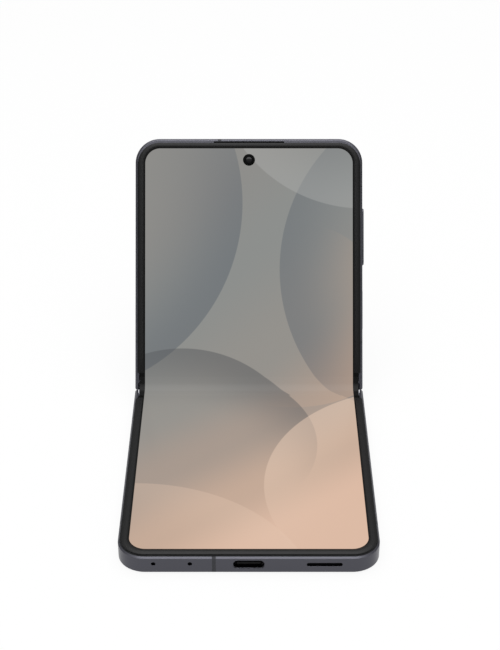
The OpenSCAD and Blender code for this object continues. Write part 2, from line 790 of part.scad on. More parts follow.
module sim_reader() {
    reader_t = 0.25;
    reader_end = 1;
    half_in = sim_card_l / 2 + slot_gap;
    color("#c8c8cc") in_upper() translate([0, sim_y, key_z]) difference() {
        block([-cavity_x + sweep_gap, sim_inner_x + reader_end], [-half_in - reader_t, half_in + reader_t],
              [-sim_card_t / 2 - slot_gap - reader_t, sim_card_t / 2 + slot_gap + reader_t]);
        block([-cavity_x, sim_inner_x + slot_gap], [-half_in, half_in],
              [-sim_card_t / 2 - slot_gap, sim_card_t / 2 + slot_gap]);
    }
}
module upper_magnets() {
    color("#8c8c90") in_upper() across() closing_magnets();
}
module upper_screws() {
    color("#b0b0b4") in_upper() across() foot_screws();
}

// ---- hinge ----

// outline of the spine: round about both fold axes, flat between them, cut off under the display
module spine_outline(r) {
    intersection() {
        union() {
            for (end = [-1, 1]) translate([end * axis_y, -axis_z]) circle(r);
            translate([-axis_y, -axis_z - r]) square([2 * axis_y, 2 * r]);
        }
        translate([-big / 2, spine_top - big]) square(big);
    }
}
// room for the crease when the phone is closed
module bulb_cut() {
    translate([-bulb_half, bulb_z]) square([2 * bulb_half, body_t]);
}
module about_axis(side) {
    translate([side * axis_y, -axis_z]) children();
}
module ring_2d(r0, r1) {
    difference() {
        circle(r1);
        circle(r0);
    }
}
// where the necks of the rotators pass over the spine's edge
module neck_notch(side) {
    translate([side > 0 ? axis_y + rail_r0 - sweep_gap : -big, neck_z - window_gap])
        square([big - axis_y - rail_r0 + sweep_gap, body_t]);
}
module spine_cover() {
    sweep_r = rail_r1 + sweep_gap;
    color("#7a7b84") in_spine() difference() {
        along_x(-spine_x + cap_t, spine_x - cap_t) spine_outline(spine_r);
        along_x(-spine_x, spine_x) spine_outline(channel_r);
        along_x(-spine_x, spine_x) translate([-channel_r, -axis_z]) square([2 * channel_r, body_t]);
        both_sides() {
            along_x(range_x[1], range_x[3]) about_axis(1) circle(sweep_r);
            along_x(range_x[4], range_x[6]) about_axis(-1) circle(sweep_r);
            along_x(range_x[1] - side_gap, range_x[3]) neck_notch(1);
            along_x(range_x[4], range_x[6] + side_gap) neck_notch(-1);
            block(cable_x, [-2 * spine_r, 2 * spine_r], [cable_window_z, body_t]);
        }
    }
}
module spine_end_caps() {
    color("#6c6d76") in_spine() both_sides() along_x(spine_x - cap_t, spine_x) difference() {
        spine_outline(spine_r);
        bulb_cut();
    }
}
module hinge_brackets() {
    color("#8e8e92") in_spine() both_sides() difference() {
        along_x(range_x[0], range_x[7]) spine_outline(channel_r);
        along_x(range_x[0] - thin, range_x[7] + thin) bulb_cut();
        for (side = [1, -1]) {
            rail = side > 0 ? [range_x[1], range_x[2]] : [range_x[5], range_x[6]];
            ring = side > 0 ? [range_x[2], range_x[3]] : [range_x[4], range_x[5]];
            along_x(rail[0], rail[1]) about_axis(side) ring_2d(rail_r0 - sweep_gap, 2 * rail_r1);
            along_x(ring[0], ring[1]) about_axis(side) circle(rail_r1 + sweep_gap);
            along_x(rail[0], rail[1]) about_axis(side) circle(thin);
        }
        for (y = pinion_y) translate([0, y, pinion_z]) {
            along_x(range_x[3], range_x[4]) circle(pinion_pocket_r);
            along_x(range_x[0], range_x[7]) circle(shaft_r);
        }
    }
}
// a tooth's outline between two radii: [radius, half width] pairs, from its root to its tip
function flank(angle, side, widths) =
    [for (p = widths) [p[0] * cos(angle + side * p[1] / p[0] * 180 / PI),
                       p[0] * sin(angle + side * p[1] / p[0] * 180 / PI)]];
function reversed(list) = [for (i = [len(list) - 1 : -1 : 0]) list[i]];
module tooth(angle, widths) {
    polygon(concat(flank(angle, -1, widths), reversed(flank(angle, 1, widths))));
}
tooth_half = PI * tooth_module / 4 - backlash / 2;
tip_half = 0.05;
ring_tip_half = 0.07;
pinion_widths = [
    [pinion_pitch_r - dedendum - 0.04, tooth_half],
    [pinion_pitch_r, tooth_half],
    [pinion_pitch_r + addendum / 2, 0.85 * tooth_half],
    [pinion_pitch_r + addendum, tip_half]
];
ring_widths = [
    [ring_pitch_r + dedendum + 0.04, 1.2 * tooth_half],
    [ring_pitch_r, tooth_half],
    [ring_pitch_r - addendum, ring_tip_half]
];
// the arc that rides in the spine, seen along the axis of the lower half's fold
module rail_2d() {
    intersection() {
        ring_2d(rail_r0, rail_r1);
        sector(180, 270 + rail_reach);
    }
}
// wedge between two angles up to a half turn apart
module sector(a0, a1) {
    polygon([[0, 0], big * [cos(a0), sin(a0)], big * [cos((a0 + a1) / 2), sin((a0 + a1) / 2)],
             big * [cos(a1), sin(a1)]]);
}
module toothed_ring_2d(gap_angle) {
    first = ceil((180 - gap_angle) / ring_step) - 0.5;
    last = floor((270 + rail_reach - gap_angle) / ring_step) - 0.5;
    intersection() {
        ring_2d(ring_pitch_r + dedendum, rail_r1);
        sector(180, 270 + rail_reach);
    }
    for (i = [first + 1 : last]) tooth(gap_angle + i * ring_step, ring_widths);
}
module rotator(rail, ring, gap_angle) {
    x0 = min(rail[0], ring[0]) + side_gap / 2;
    x1 = max(rail[1], ring[1]) - side_gap / 2;
    along_x(rail[0] + side_gap / 2, rail[1] - side_gap / 2) about_axis(-1) rail_2d();
    along_x(ring[0] + side_gap / 2, ring[1] - side_gap / 2) about_axis(-1) toothed_ring_2d(gap_angle);
    // joins the rail to the toothed ring beside it
    along_x(x0, x1) about_axis(-1) intersection() {
        ring_2d(ring_pitch_r + dedendum, rail_r1);
        sector(180, 270 + rail_reach);
    }
    block([x0, x1], [-foot_start - thin, -axis_y - rail_r0], [neck_z, neck_top]);
    difference() {
        block([range_x[0], range_x[7]], [-foot_end, -foot_start], [foot_z - foot_t, foot_z]);
        for (x = screw_x()) rod_z(x, screw_y(), foot_z - foot_t - thin, foot_z + thin, screw_r);
    }
}
module lower_rotators() {
    color("#a4a4a8") in_lower() both_sides()
        rotator([range_x[5], range_x[6]], [range_x[4], range_x[5]], mesh_a + 360);
}
module upper_rotators() {
    color("#a4a4a8") in_upper() across() both_sides()
        rotator([range_x[1], range_x[2]], [range_x[2], range_x[3]], 180 - ring_b_gap);
}
module pinion(i, phase, turn, x0, x1) {
    color("#c8b070") in_spine() both_sides() along_x(x0 + side_gap, x1 - side_gap)
        translate([pinion_y[i], pinion_z]) difference() {
            union() {
                circle(pinion_pitch_r - dedendum);
                for (k = [0 : pinion_teeth - 1])
                    tooth(phase + turn * gear_ratio * half_fold + k * pinion_step, pinion_widths);
            }
            circle(shaft_r + bore_play);
        }
}
module lower_pinion() {
    pinion(0, phase_1, -1, range_x[3], range_x[5]);
}
module lower_idler() {
    pinion(1, phase_2, 1, range_x[3], range_x[4]);
}
module upper_idler() {
    pinion(2, phase_3, -1, range_x[3], range_x[4]);
}
module upper_pinion() {
    pinion(3, phase_4, 1, range_x[2], range_x[4]);
}
module pinion_shafts() {
    color("#d0d0d4") in_spine() both_sides() for (i = [0 : 3])
        translate([0, pinion_y[i], pinion_z])
            along_x(i < 2 ? range_x[3] + thin : range_x[0], i < 2 ? range_x[7] : range_x[4] - thin)
                circle(shaft_r);
}
module fold_bed() {
    sunk = bed_drop * half_fold / 90;
    color("#909498") in_spine() difference() {
        block([-bed_l, bed_l], [-bed_half, bed_half], [-panel_t - sunk - bed_t, -panel_t - sunk]);
        for (x = post_x, y = [-post_y, post_y])
            rod_z(x, y, -body_t, thin, post_r + bore_play);
    }
}
module bed_posts() {
    color("#b8b8bc") in_spine() intersection() {
        for (x = post_x, y = [-post_y, post_y]) rod_z(x, y, channel_z, post_top, post_r);
        along_x(-spine_x, spine_x) union() {
            spine_outline(channel_r);
            translate([-channel_r, -axis_z]) square([2 * channel_r, axis_z]);
        }
    }
}
// y and z in the spine's frame of a point of the lower half's frame, as the phone stands
function from_lower(y, z) = [
    -axis_y + (y + axis_y) * cos(half_fold) + (z + axis_z) * sin(half_fold),
    -axis_z - (y + axis_y) * sin(half_fold) + (z + axis_z) * cos(half_fold)
];
// half of the cables' route, from behind the hinge wall down to the channel's floor
cable_route = [
    from_lower(-cavity_start - cable_end, mid_z - cable_sag),
    from_lower(-pocket_l, mid_z - cable_sag),
    [-axis_y - channel_r, mid_z - cable_sag],
    [-axis_y - cable_sag, cable_window_z - cable_sag / 2],
    [0, channel_z + cable_sag / 2]
];
module flex_cables() {
    mirrored = [for (i = [len(cable_route) - 2 : -1 : 0]) [-cable_route[i][0], cable_route[i][1]]];
    route = concat(cable_route, mirrored);
    color("#6a4a20") in_spine() both_sides() along_x(cable_x[0] + 1, cable_x[1] - 1)
        polygon(concat(route, [for (p = reversed(route)) p - [0, cable_t]]));
}
module display_fold() {
    // the two display planes meet here in the spine's frame, and the crease is round below that line
    meet_z = from_lower(-axis_y, 0)[1] + from_lower(-axis_y, 0)[0] * tan(half_fold);
    centre_z = meet_z + crease_r / cos(half_fold);
    tangent_y = crease_r * sin(half_fold);
    tangent_z = centre_z - crease_r * cos(half_fold);
    strip_end = from_lower(-fold_half, 0);
    // the round part runs a little into the flat parts, so that they join
    overlap_a = 0.2;
    color("#8a8076") in_spine() {
        along_x(-strip_x, strip_x) intersection() {
            translate([0, centre_z]) ring_2d(crease_r, crease_r + panel_t);
            translate([0, centre_z]) sector(270 - half_fold - overlap_a, 270 + half_fold + overlap_a);
        }
        for (side = [0, 1]) mirror([0, side, 0]) along_x(-strip_x, strip_x) polygon([
            strip_end, [-tangent_y, tangent_z],
            [-tangent_y - panel_t * sin(half_fold), tangent_z - panel_t * cos(half_fold)],
            strip_end - panel_t * [sin(half_fold), cos(half_fold)]
        ]);
    }
}
strip_x = panel_x - 0.1;

lower_frame();
lower_back_glass();
lower_antenna_bands();
lower_bezel();
lower_display_plate();
display_lower();
usb_shell();
usb_tongue();
loudspeaker();
speaker_mesh();
lower_microphones();
lower_battery();
lower_board();
charging_coil();
vibration_motor();
lower_magnets();
lower_screws();
upper_frame();
cover_glass();
upper_antenna_bands();
upper_bezel();
upper_display_plate();
display_upper();
cover_display();
camera_rings();
camera_lenses();
camera_modules();
camera_flash();
selfie_camera();
earpiece();
earpiece_mesh();
main_board();
shield_cans();
upper_battery();
volume_rocker();
side_key();
key_switches();
sim_tray();
sim_reader();
upper_magnets();
upper_screws();
spine_cover();
spine_end_caps();
hinge_brackets();
lower_rotators();
upper_rotators();
lower_pinion();
lower_idler();
upper_idler();
upper_pinion();
pinion_shafts();
fold_bed();
bed_posts();
flex_cables();
display_fold();
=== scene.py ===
"""Fine pieces and finishes for a foldable smartphone that stands half open.

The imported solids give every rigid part. This file adds the bending display, the cables, bezels, seals, keys, lenses
and contacts as surfaces worked out with numpy, and gives each part the material that the real one is made of.
Lengths are metres. The open phone's frame has the hinge line at y = 0 and the display's surface at z = 0.
"""

import json
import math

import bmesh
import bpy
import numpy as np
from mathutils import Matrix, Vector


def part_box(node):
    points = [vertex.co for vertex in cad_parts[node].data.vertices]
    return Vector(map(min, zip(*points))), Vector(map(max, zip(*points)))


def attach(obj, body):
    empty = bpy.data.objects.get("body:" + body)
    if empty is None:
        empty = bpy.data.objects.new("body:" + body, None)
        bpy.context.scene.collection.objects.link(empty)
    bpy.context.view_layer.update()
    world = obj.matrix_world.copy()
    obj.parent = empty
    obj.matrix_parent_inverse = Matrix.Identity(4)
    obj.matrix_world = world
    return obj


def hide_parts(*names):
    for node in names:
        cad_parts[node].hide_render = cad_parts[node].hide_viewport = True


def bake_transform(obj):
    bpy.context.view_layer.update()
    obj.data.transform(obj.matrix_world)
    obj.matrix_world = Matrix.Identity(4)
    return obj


bl_info = {
    "name": "Foldable Smartphone",
    "version": (1, 0, 0),
    "blender": (4, 5, 0),
    "location": "3D View > Sidebar > Phone",
    "description": "Dresses a foldable smartphone with its display, seals, keys, lenses and finishes",
    "category": "Object",
}

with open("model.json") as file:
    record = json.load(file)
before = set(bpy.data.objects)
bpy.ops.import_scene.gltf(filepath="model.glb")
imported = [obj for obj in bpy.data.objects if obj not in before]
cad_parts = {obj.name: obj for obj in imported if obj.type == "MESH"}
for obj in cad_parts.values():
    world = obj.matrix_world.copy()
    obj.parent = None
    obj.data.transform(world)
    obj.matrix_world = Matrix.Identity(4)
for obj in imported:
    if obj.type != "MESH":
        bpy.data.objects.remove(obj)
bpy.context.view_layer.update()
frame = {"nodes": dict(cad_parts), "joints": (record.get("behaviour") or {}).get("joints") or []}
MM = 0.001
CLOSE = 0.001 * MM  # points nearer than this are the same

# ---- the phone's own frame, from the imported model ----

JOINTS = {joint["name"]: joint for joint in frame["joints"]}
AXIS_A = np.array(JOINTS["fold_lower"]["pos_m"][1:])
AXIS_B = np.array(JOINTS["fold_upper"]["pos_m"][1:])
HALF_FOLD = -math.radians(JOINTS["fold_lower"]["range_deg"][0])
AXIS_Y = float(np.linalg.norm(AXIS_B - AXIS_A)) / 2
BODY_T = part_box("display_lower")[1].z
HALF_L = 2 * (AXIS_A[0] + AXIS_Y)
ORIGIN = np.array((0, HALF_L / 2, BODY_T))
OPEN_B = AXIS_A + np.array((2 * AXIS_Y, 0))


def turned(points, centre, angle):
    """Turns points about the axis along X through centre (y, z), by the plain rotation of two coordinates."""
    y, z = points[..., 1] - centre[0], points[..., 2] - centre[1]
    c, s = math.cos(angle), math.sin(angle)
    return np.stack((points[..., 0], centre[0] + y * c - z * s, centre[1] + y * s + z * c), -1)


def placed(points, half):
    """Takes points from the open phone's frame to the place where that body stands."""
    points = np.asarray(points, float) + ORIGIN
    if half == "upper_half":
        points = turned(points, OPEN_B, HALF_FOLD)
    return points if half == "lower_half" else turned(points, AXIS_A, HALF_FOLD)


def opened(points, half):
    """The way back: takes points of a standing body to the open phone's frame."""
    points = np.asarray(points, float)
    if half != "lower_half":
        points = turned(points, AXIS_A, -HALF_FOLD)
    if half == "upper_half":
        points = turned(points, OPEN_B, -HALF_FOLD)
    return points - ORIGIN


def node_points(node, half):
    """A CAD node's corners in the open phone's frame."""
    mesh = frame["nodes"][node].data
    points = np.empty(len(mesh.vertices) * 3, np.float32)
    mesh.vertices.foreach_get("co", points)
    return opened(points.reshape(-1, 3), half)


def open_box(node, half):
    """Lowest and highest corner of a CAD node in the open phone's frame."""
    points = node_points(node, half)
    return points.min(0), points.max(0)


def lit_area(sizes):
    """Half the width of the lit area, and how far it reaches from the hinge on the lower and the upper half: it ends
    inset from the bezel's opening, as far from the upper frame's end as from its sides."""
    bezel = node_points("lower_bezel", "lower_half")
    half_w = float(np.abs(bezel[bezel[:, 1] > -HALF_L / 2][:, 0]).min()) - sizes.lit_inset
    reach = float(HALF_L - (open_box("lower_frame", "lower_half")[1][0] - half_w))
    return half_w, {"lower_half": reach + sizes.lit_reach, "upper_half": reach}


# ---- surfaces ----


def make_piece(name, grids, material, around=True, capped=False, uvs=None, sharp=35):
    """One mesh from grids of points (rows, columns, xyz). Each cell becomes a four-sided face. With around, the
    last column joins the first. With capped, one face closes each end row. Rows that shrink to a point are merged."""
    points, faces, maps, base = [], [], [], 0
    for k, grid in enumerate(grids):
        rows, cols = grid.shape[:2]
        index = base + np.arange(rows * cols).reshape(rows, cols)
        ring = np.concatenate((index, index[:, :1]), 1) if around else index
        quads = np.stack((ring[:-1, :-1], ring[:-1, 1:], ring[1:, 1:], ring[1:, :-1]), -1)
        faces += quads.reshape(-1, 4).tolist()
        if capped:
            faces += [index[0, ::-1].tolist(), index[-1].tolist()]
        points.append(grid.reshape(-1, 3))
        if uvs is not None:
            maps.append(uvs[k].reshape(-1, 2))
        base += rows * cols
    mesh = bpy.data.meshes.new(name)
    mesh.from_pydata(np.concatenate(points).tolist(), [], faces)
    if uvs is not None:
        loops = np.empty(len(mesh.loops), np.int32)
        mesh.loops.foreach_get("vertex_index", loops)
        layer = mesh.uv_layers.new(name="Developed")
        layer.data.foreach_set("uv", np.concatenate(maps)[loops].astype(np.float32).ravel())
    shape = bmesh.new()
    shape.from_mesh(mesh)
    bmesh.ops.remove_doubles(shape, verts=shape.verts, dist=CLOSE)
    bmesh.ops.recalc_face_normals(shape, faces=shape.faces)
    shape.to_mesh(mesh)
    shape.free()
    mesh.shade_smooth()
    mesh.set_sharp_from_angle(angle=math.radians(sharp))
    mesh.materials.append(material)
    piece = bpy.data.objects.new(name, mesh)
    bpy.context.scene.collection.objects.link(piece)
    return piece


def turned_form(profile, centre, half, out=-1, steps=72):
    """A form turned on a lathe: each (radius, height) of the profile goes round the centre, and height is
    measured outwards from the centre along out times Z."""
    profile = np.asarray(profile, float)
    angle = np.linspace(0, 2 * math.pi, steps, endpoint=False)
    radius, height = profile[:, :1], profile[:, 1:]
    x = centre[0] + radius * np.cos(angle)
    y = centre[1] + radius * np.sin(angle)
    z = centre[2] + out * height + 0 * angle
    return placed(np.stack((x, y, z), -1), half)


def dome(radius, foot, rise):
    """Profile of a lens: a quarter of an ellipse from its top, foot plus rise high, down to its foot, then closed."""
    turn = np.linspace(0, math.pi / 2, 14)
    cap = np.stack((radius * np.sin(turn), foot + rise * np.cos(turn)), -1)
    return np.concatenate((cap, ((0, foot),)))


def arc(centre, radius, start, end, steps):
    """Points of a circle's arc between two angles in degrees."""
    angle = np.radians(np.linspace(start, end, steps))
    return np.stack((centre[0] + radius * np.cos(angle), centre[1] + radius * np.sin(angle)), -1)


def rim_path(half_w, start, end, radius, steps=20):
    """Line round a half's rim in plan, from the hinge down one side, round both far corners and back up the
    other side, with its outward direction at each point: straight runs, with points closer together towards the
    hinge, joined by quarter circles."""
    right = arc((0, 0), 1, 0, -90, steps)
    left = arc((0, 0), 1, -90, -180, steps)
    side = np.linspace(0, 1, steps)[:, None] ** 2
    corner = np.array((half_w - radius, radius - end))
    down = np.concatenate((np.full((steps, 1), half_w), -start + side * (radius - end + start)), 1)
    up = down[::-1] * (-1, 1)
    line = np.concatenate((down, corner + radius * right, corner * (-1, 1) + radius * left, up))
    outward = np.concatenate((np.tile((1.0, 0.0), (steps, 1)), right, left, np.tile((-1.0, 0.0), (steps, 1))))
    keep = np.append(True, np.linalg.norm(np.diff(line, axis=0), axis=1) > CLOSE)
    return line[keep], outward[keep]


def rim_strip(profile, half_w, start, end, radius, half):
    """A strip round a half's rim: a closed profile of (outward, height) points carried along the rim's line."""
    line, outward = rim_path(half_w, start, end, radius)
    profile = np.asarray(profile, float)
    plan = line[:, None] + outward[:, None] * profile[None, :, :1]
    height = np.broadcast_to(profile[None, :, 1:], (*plan.shape[:2], 1))
    return stand(np.concatenate((plan, height), -1), half)


def stand(points, half):
    """Places points worked out for the lower half on either half, the upper one as its mirror image."""
    return placed(points * (1, -1, 1) if half == "upper_half" else points, half)


def pill(length, height, profile, centre, half, steps=96):
    """A key seen along X: two half circles joined by straight edges, drawn inwards by each profile point's inset
    and put out to its height. Once the inset takes up the half circles, what is left is a line."""
    profile = np.asarray(profile, float)
    angle = np.linspace(0, 2 * math.pi, steps, endpoint=False)
    radius = np.maximum(height / 2 - profile[:, :1], 0)
    straight = np.where(np.cos(angle) >= 0, 1, -1) * (length - height) / 2
    y = centre[1] + straight + radius * np.cos(angle)
    z = centre[2] + radius * np.sin(angle)
    x = centre[0] + profile[:, 1:] + 0 * angle
    return placed(np.stack((x, y, z), -1), half)


def across_hinge(x, loop, sign):
    """A closed section (y, z), turned round with sign, carried straight along X through the places x."""
    section = np.column_stack((np.zeros(len(loop)), sign * loop[:, 0], loop[:, 1]))
    return x[:, None, None] * (1.0, 0.0, 0.0) + section


def boxes(low, high):
    """Boxes as grids of four rows by four columns: the middle rows are a box's lower and upper ring, and the end
    rows are these rings drawn together to the middle line, so that each box is closed."""
    ring = np.array(((0, 0), (1, 0), (1, 1), (0, 1)), float)
    middle = np.full((4, 2), 0.5)
    plan = np.stack((middle, ring, ring, middle))
    rise = np.broadcast_to(np.array((0.0, 0.0, 1.0, 1.0))[:, None, None], (4, 4, 1))
    return low[:, None, None] + np.concatenate((plan, rise), -1) * (high - low)[:, None, None]


# ---- materials ----

WAVE_TURN = 20  # radians that a wave texture turns over one unit


def linear(code):
    """An sRGB hex colour as linear red, green, blue and alpha."""
    c = np.array([int(code[i : i + 2], 16) for i in (1, 3, 5)]) / 255
    return (*np.where(c <= 0.04045, c / 12.92, ((c + 0.055) / 1.055) ** 2.4).tolist(), 1.0)


def shaded(colour, share, lift=0.0):
    """A colour made darker or lighter by a share of itself, and lifted a little."""
    return (*(min(1.0, share * c + lift) for c in colour[:3]), 1.0)


def per_mm(size):
    """Texture scale for a pattern whose features are this many millimetres wide."""
    return 1 / (size * MM)


def band_scale(pitch):
    """Scale of a wave texture whose bands are pitch millimetres apart."""
    return per_mm(pitch) * 2 * math.pi / WAVE_TURN


def add(tree, kind, inputs=None, out=0, **settings):
    """Adds a node and returns one of its output sockets. Settings are its own properties, and inputs are values or
    sockets for its inputs."""
    node = tree.nodes.new(kind if kind.startswith("Node") else "ShaderNode" + kind)
    for key, value in settings.items():
        setattr(node, key, value)
    for key, value in (inputs or {}).items():
        if isinstance(value, bpy.types.NodeSocket):
            tree.links.new(value, node.inputs[key])
        else:
            node.inputs[key].default_value = value
    return node.outputs[out] if node.outputs else None


def start_material(name, sockets):
    """A material with a Principled shader, its plain socket values and the piece's own coordinates."""
    material = bpy.data.materials.new(name)
    material.use_nodes = True
    tree = material.node_tree
    shader = tree.nodes["Principled BSDF"]
    for key, value in sockets.items():
        shader.inputs[key].default_value = value
    material.diffuse_color = shader.inputs["Base Color"].default_value
    return material, shader, add(tree, "TexCoord", out="Object")


def grain(coords, size, detail=2.0, stretch=(1, 1, 1)):
    """Noise whose features are about size millimetres wide, drawn out by stretch. Returns its value socket."""
    tree = coords.id_data
    place = add(tree, "Mapping", {"Vector": coords, "Scale": tuple(1 / s for s in stretch)})
    return add(tree, "TexNoise", {"Vector": place, "Scale": per_mm(size), "Detail": detail}, "Fac")


def vary(shader, key, value, low, high):
    """Drives a shader's socket from a 0 to 1 pattern, between low and high."""
    tree = shader.id_data
    tree.links.new(add(tree, "MapRange", {"Value": value, "To Min": low, "To Max": high}), shader.inputs[key])


def tint(value, low, high):
    """A colour between two colours by a 0 to 1 pattern."""
    return add(value.id_data, "Mix", {0: value, 6: low, 7: high}, 2, data_type="RGBA")


def paint(shader, value, low, high):
    """Colours a shader between two colours by a 0 to 1 pattern."""
    shader.id_data.links.new(tint(value, low, high), shader.inputs["Base Color"])


def relief(shader, value, depth, strength=1.0, normal=None):
    """Bumps a shader's surface by a pattern, depth millimetres from its lowest to its highest."""
    inputs = {"Height": value, "Distance": depth * MM, "Strength": strength}
    if normal is not None:
        inputs["Normal"] = normal
    shader.id_data.links.new(add(shader.id_data, "Bump", inputs), shader.inputs["Normal"])


def anodised_aluminium(name, colour, roughness=0.3, round_edge=0.12, highlight_ways=None):
    """Bead-blasted aluminium, dyed while anodised. The blasting gives soft wide highlights, the dyed oxide a cool
    tone of its own, and handling rubs the edges a little brighter. Given the piece's directions up and towards its
    end, the chamfer between them, fading out round to the sides, gets a painted highlight: its colour is made 1.5
    times lighter."""
    material, shader, coords = start_material(name, {"Base Color": colour, "Metallic": 1.0})
    tree = coords.id_data
    # the blasted grain is about 0.05 mm and is drawn at 0.35 mm, or it wouldn't show
    blast = grain(coords, 0.35)
    cloud = grain(coords, 14, 3)
    edge = add(tree, "Bevel", {"Radius": round_edge * MM}, samples=6)
    face = add(tree, "NewGeometry", out="Normal")
    turn = add(tree, "VectorMath", {0: edge, 1: face}, "Value", operation="DOT_PRODUCT")
    worn = add(tree, "MapRange", {"Value": turn, "From Min": 0.995, "From Max": 0.93})
    worn = add(tree, "Math", {0: worn, 1: cloud}, operation="MULTIPLY")
    body = tint(cloud, shaded(colour, 0.9), colour)
    if highlight_ways is not None:
        own = add(tree, "TexCoord", out="Normal")
        rise, ahead = [add(tree, "VectorMath", {0: own, 1: way}, "Value", operation="DOT_PRODUCT") for way in highlight_ways]
        # a chamfer leans halfway between up and outwards, where both shares are the root of a half
        slant = add(tree, "Math", {0: rise, 1: math.sqrt(0.5)}, operation="SUBTRACT")
        slant = add(tree, "Math", {0: slant}, operation="ABSOLUTE")
        slant = add(tree, "MapRange", {"Value": slant, "From Min": 0.2, "From Max": 0.1})
        ahead = add(tree, "MapRange", {"Value": ahead, "From Min": 0.1, "From Max": 0.3})
        # painted highlight: the chamfer that faces the end is coloured 1.5 times lighter, fading round to the sides
        painted_highlight = add(tree, "Math", {0: slant, 1: ahead}, operation="MULTIPLY")
        body = tint(painted_highlight, body, shaded(colour, 1.5))
    paint(shader, worn, body, shaded(colour, 1.5, 0.01))
    vary(shader, "Roughness", blast, roughness - 0.05, roughness + 0.06)
    relief(shader, blast, 0.002, 0.3, edge)
    return material


def polished_aluminium(name, colour):
    """Hinge cover of aluminium, brushed lengthwise, polished and dyed. The fine lines run along the hinge, so its
    highlight is drawn out across them."""
    material, shader, coords = start_material(name, {"Base Color": colour, "Metallic": 1.0})
    lines = grain(coords, 0.2, 3, (40, 1, 1))
    vary(shader, "Roughness", lines, 0.16, 0.27)
    paint(shader, grain(coords, 8), shaded(colour, 0.88), colour)
    relief(shader, lines, 0.002, 0.6)
    return material


def etched_glass(name, colour):
    """Back glass: strong sheet glass, etched on the outside to a silky matte, over a dyed film. The etching spreads
    each reflection and leaves a fine sparkle, and the film under it gives the colour."""
    sockets = {"Base Color": colour, "IOR": 1.5, "Coat Weight": 0.25, "Coat Roughness": 0.3}
    material, shader, coords = start_material(name, sockets)
    # the etched pits are under 0.02 mm and are drawn at 0.3 mm, or they wouldn't show
    pits = grain(coords, 0.3, 4)
    paint(shader, grain(coords, 30, 1), shaded(colour, 0.93), colour)
    vary(shader, "Roughness", pits, 0.34, 0.46)
    relief(shader, pits, 0.002, 0.4)
    return material


def polished_glass(name, colour, border, border_x):
    """Cover glass: polished sheet glass over a dark display that is off, with a printed black border that starts at
    border_x. Skin oil leaves broad faint smears that only show in its gloss."""
    sockets = {"Base Color": colour, "IOR": 1.5, "Coat Weight": 0.4, "Coat Roughness": 0.03}
    material, shader, coords = start_material(name, sockets)
    tree = coords.id_data
    smears = grain(coords, 9, 4, (1, 2.5, 1))
    side = add(tree, "Math", {0: add(tree, "SeparateXYZ", {0: coords}, "X")}, operation="ABSOLUTE")
    soft = 0.1 * MM
    edge = add(tree, "MapRange", {"Value": side, "From Min": border_x - soft, "From Max": border_x + soft})
    paint(shader, edge, colour, border)
    vary(shader, "Roughness", smears, 0.03, 0.12)
    return material


def moulded_plastic(name, colour, roughness=0.5, size=0.3, depth=0.006, specular=0.35):
    """Injection-moulded polycarbonate. The mould's spark-eroded wall leaves a fine even grain that breaks up the
    gloss, with faint flow marks in the colour."""
    sockets = {"Base Color": colour, "IOR": 1.58, "Specular IOR Level": specular}
    material, shader, coords = start_material(name, sockets)
    pores = grain(coords, size, 3)
    paint(shader, grain(coords, 7, 1, (3, 1, 1)), shaded(colour, 0.85), shaded(colour, 1.1))
    vary(shader, "Roughness", pores, roughness - 0.06, roughness + 0.08)
    relief(shader, pores, depth, 0.5)
    return material


def soft_rubber(name, colour):
    """Black silicone rubber of the seals: matte, a little dusty, with no metal or gloss in it."""
    sockets = {"Base Color": colour, "Roughness": 0.75, "Specular IOR Level": 0.2}
    material, shader, coords = start_material(name, sockets)
    dust = grain(coords, 0.8, 3)
    paint(shader, dust, colour, linear("#2a2b2d"))
    relief(shader, dust, 0.004, 0.4)
    return material


def woven_mesh(name, colour, pitch=0.32):
    """Acoustic mesh: black wires woven over and under, a pitch apart, so that their crossings catch small lights.
    The real pitch is about 0.15 mm and is drawn coarser, or it wouldn't show."""
    sockets = {"Base Color": colour, "Metallic": 0.2, "Specular IOR Level": 0.1}
    material, shader, coords = start_material(name, sockets)
    tree = coords.id_data
    bands = {"Vector": coords, "Scale": band_scale(pitch)}
    wires = [add(tree, "TexWave", bands, "Fac", bands_direction=axis) for axis in "XZ"]
    height = add(tree, "Math", {0: wires[0], 1: wires[1]}, operation="MAXIMUM")
    paint(shader, height, linear("#040405"), linear("#17181b"))
    vary(shader, "Roughness", height, 0.7, 0.5)
    relief(shader, height, 0.03)
    return material


def rolled_steel(name, colour, roughness=0.35):
    """Stainless steel sheet or turned stock, rolled along X. Rolling leaves long faint lines in its gloss."""
    material, shader, coords = start_material(name, {"Base Color": colour, "Metallic": 1.0})
    lines = grain(coords, 0.25, 3, (25, 1, 1))
    paint(shader, lines, shaded(colour, 0.85), colour)
    vary(shader, "Roughness", lines, roughness - 0.07, roughness + 0.08)
    relief(shader, lines, 0.002, 0.5)
    return material


def cut_brass(name, colour):
    """Hobbed brass of the gears: bright, with fine cutting marks round each tooth and a thin film of grease."""
    sockets = {"Base Color": colour, "Metallic": 1.0, "Coat Weight": 0.3, "Coat Roughness": 0.15}
    material, shader, coords = start_material(name, sockets)
    marks = grain(coords, 0.08, 2, (6, 1, 1))
    paint(shader, grain(coords, 1.2), colour, shaded(colour, 0.75))
    vary(shader, "Roughness", marks, 0.2, 0.36)
    relief(shader, marks, 0.002, 0.5)
    return material


def gold_plate(name, colour):
    """Gold plated over nickel on the socket's contacts: thin, warm and smooth, a little rubbed by the plug."""
    material, shader, coords = start_material(name, {"Base Color": colour, "Metallic": 1.0})
    rubbed = grain(coords, 0.15, 3, (1, 8, 1))
    vary(shader, "Roughness", rubbed, 0.18, 0.34)
    paint(shader, rubbed, colour, linear("#b8a888"))
    return material


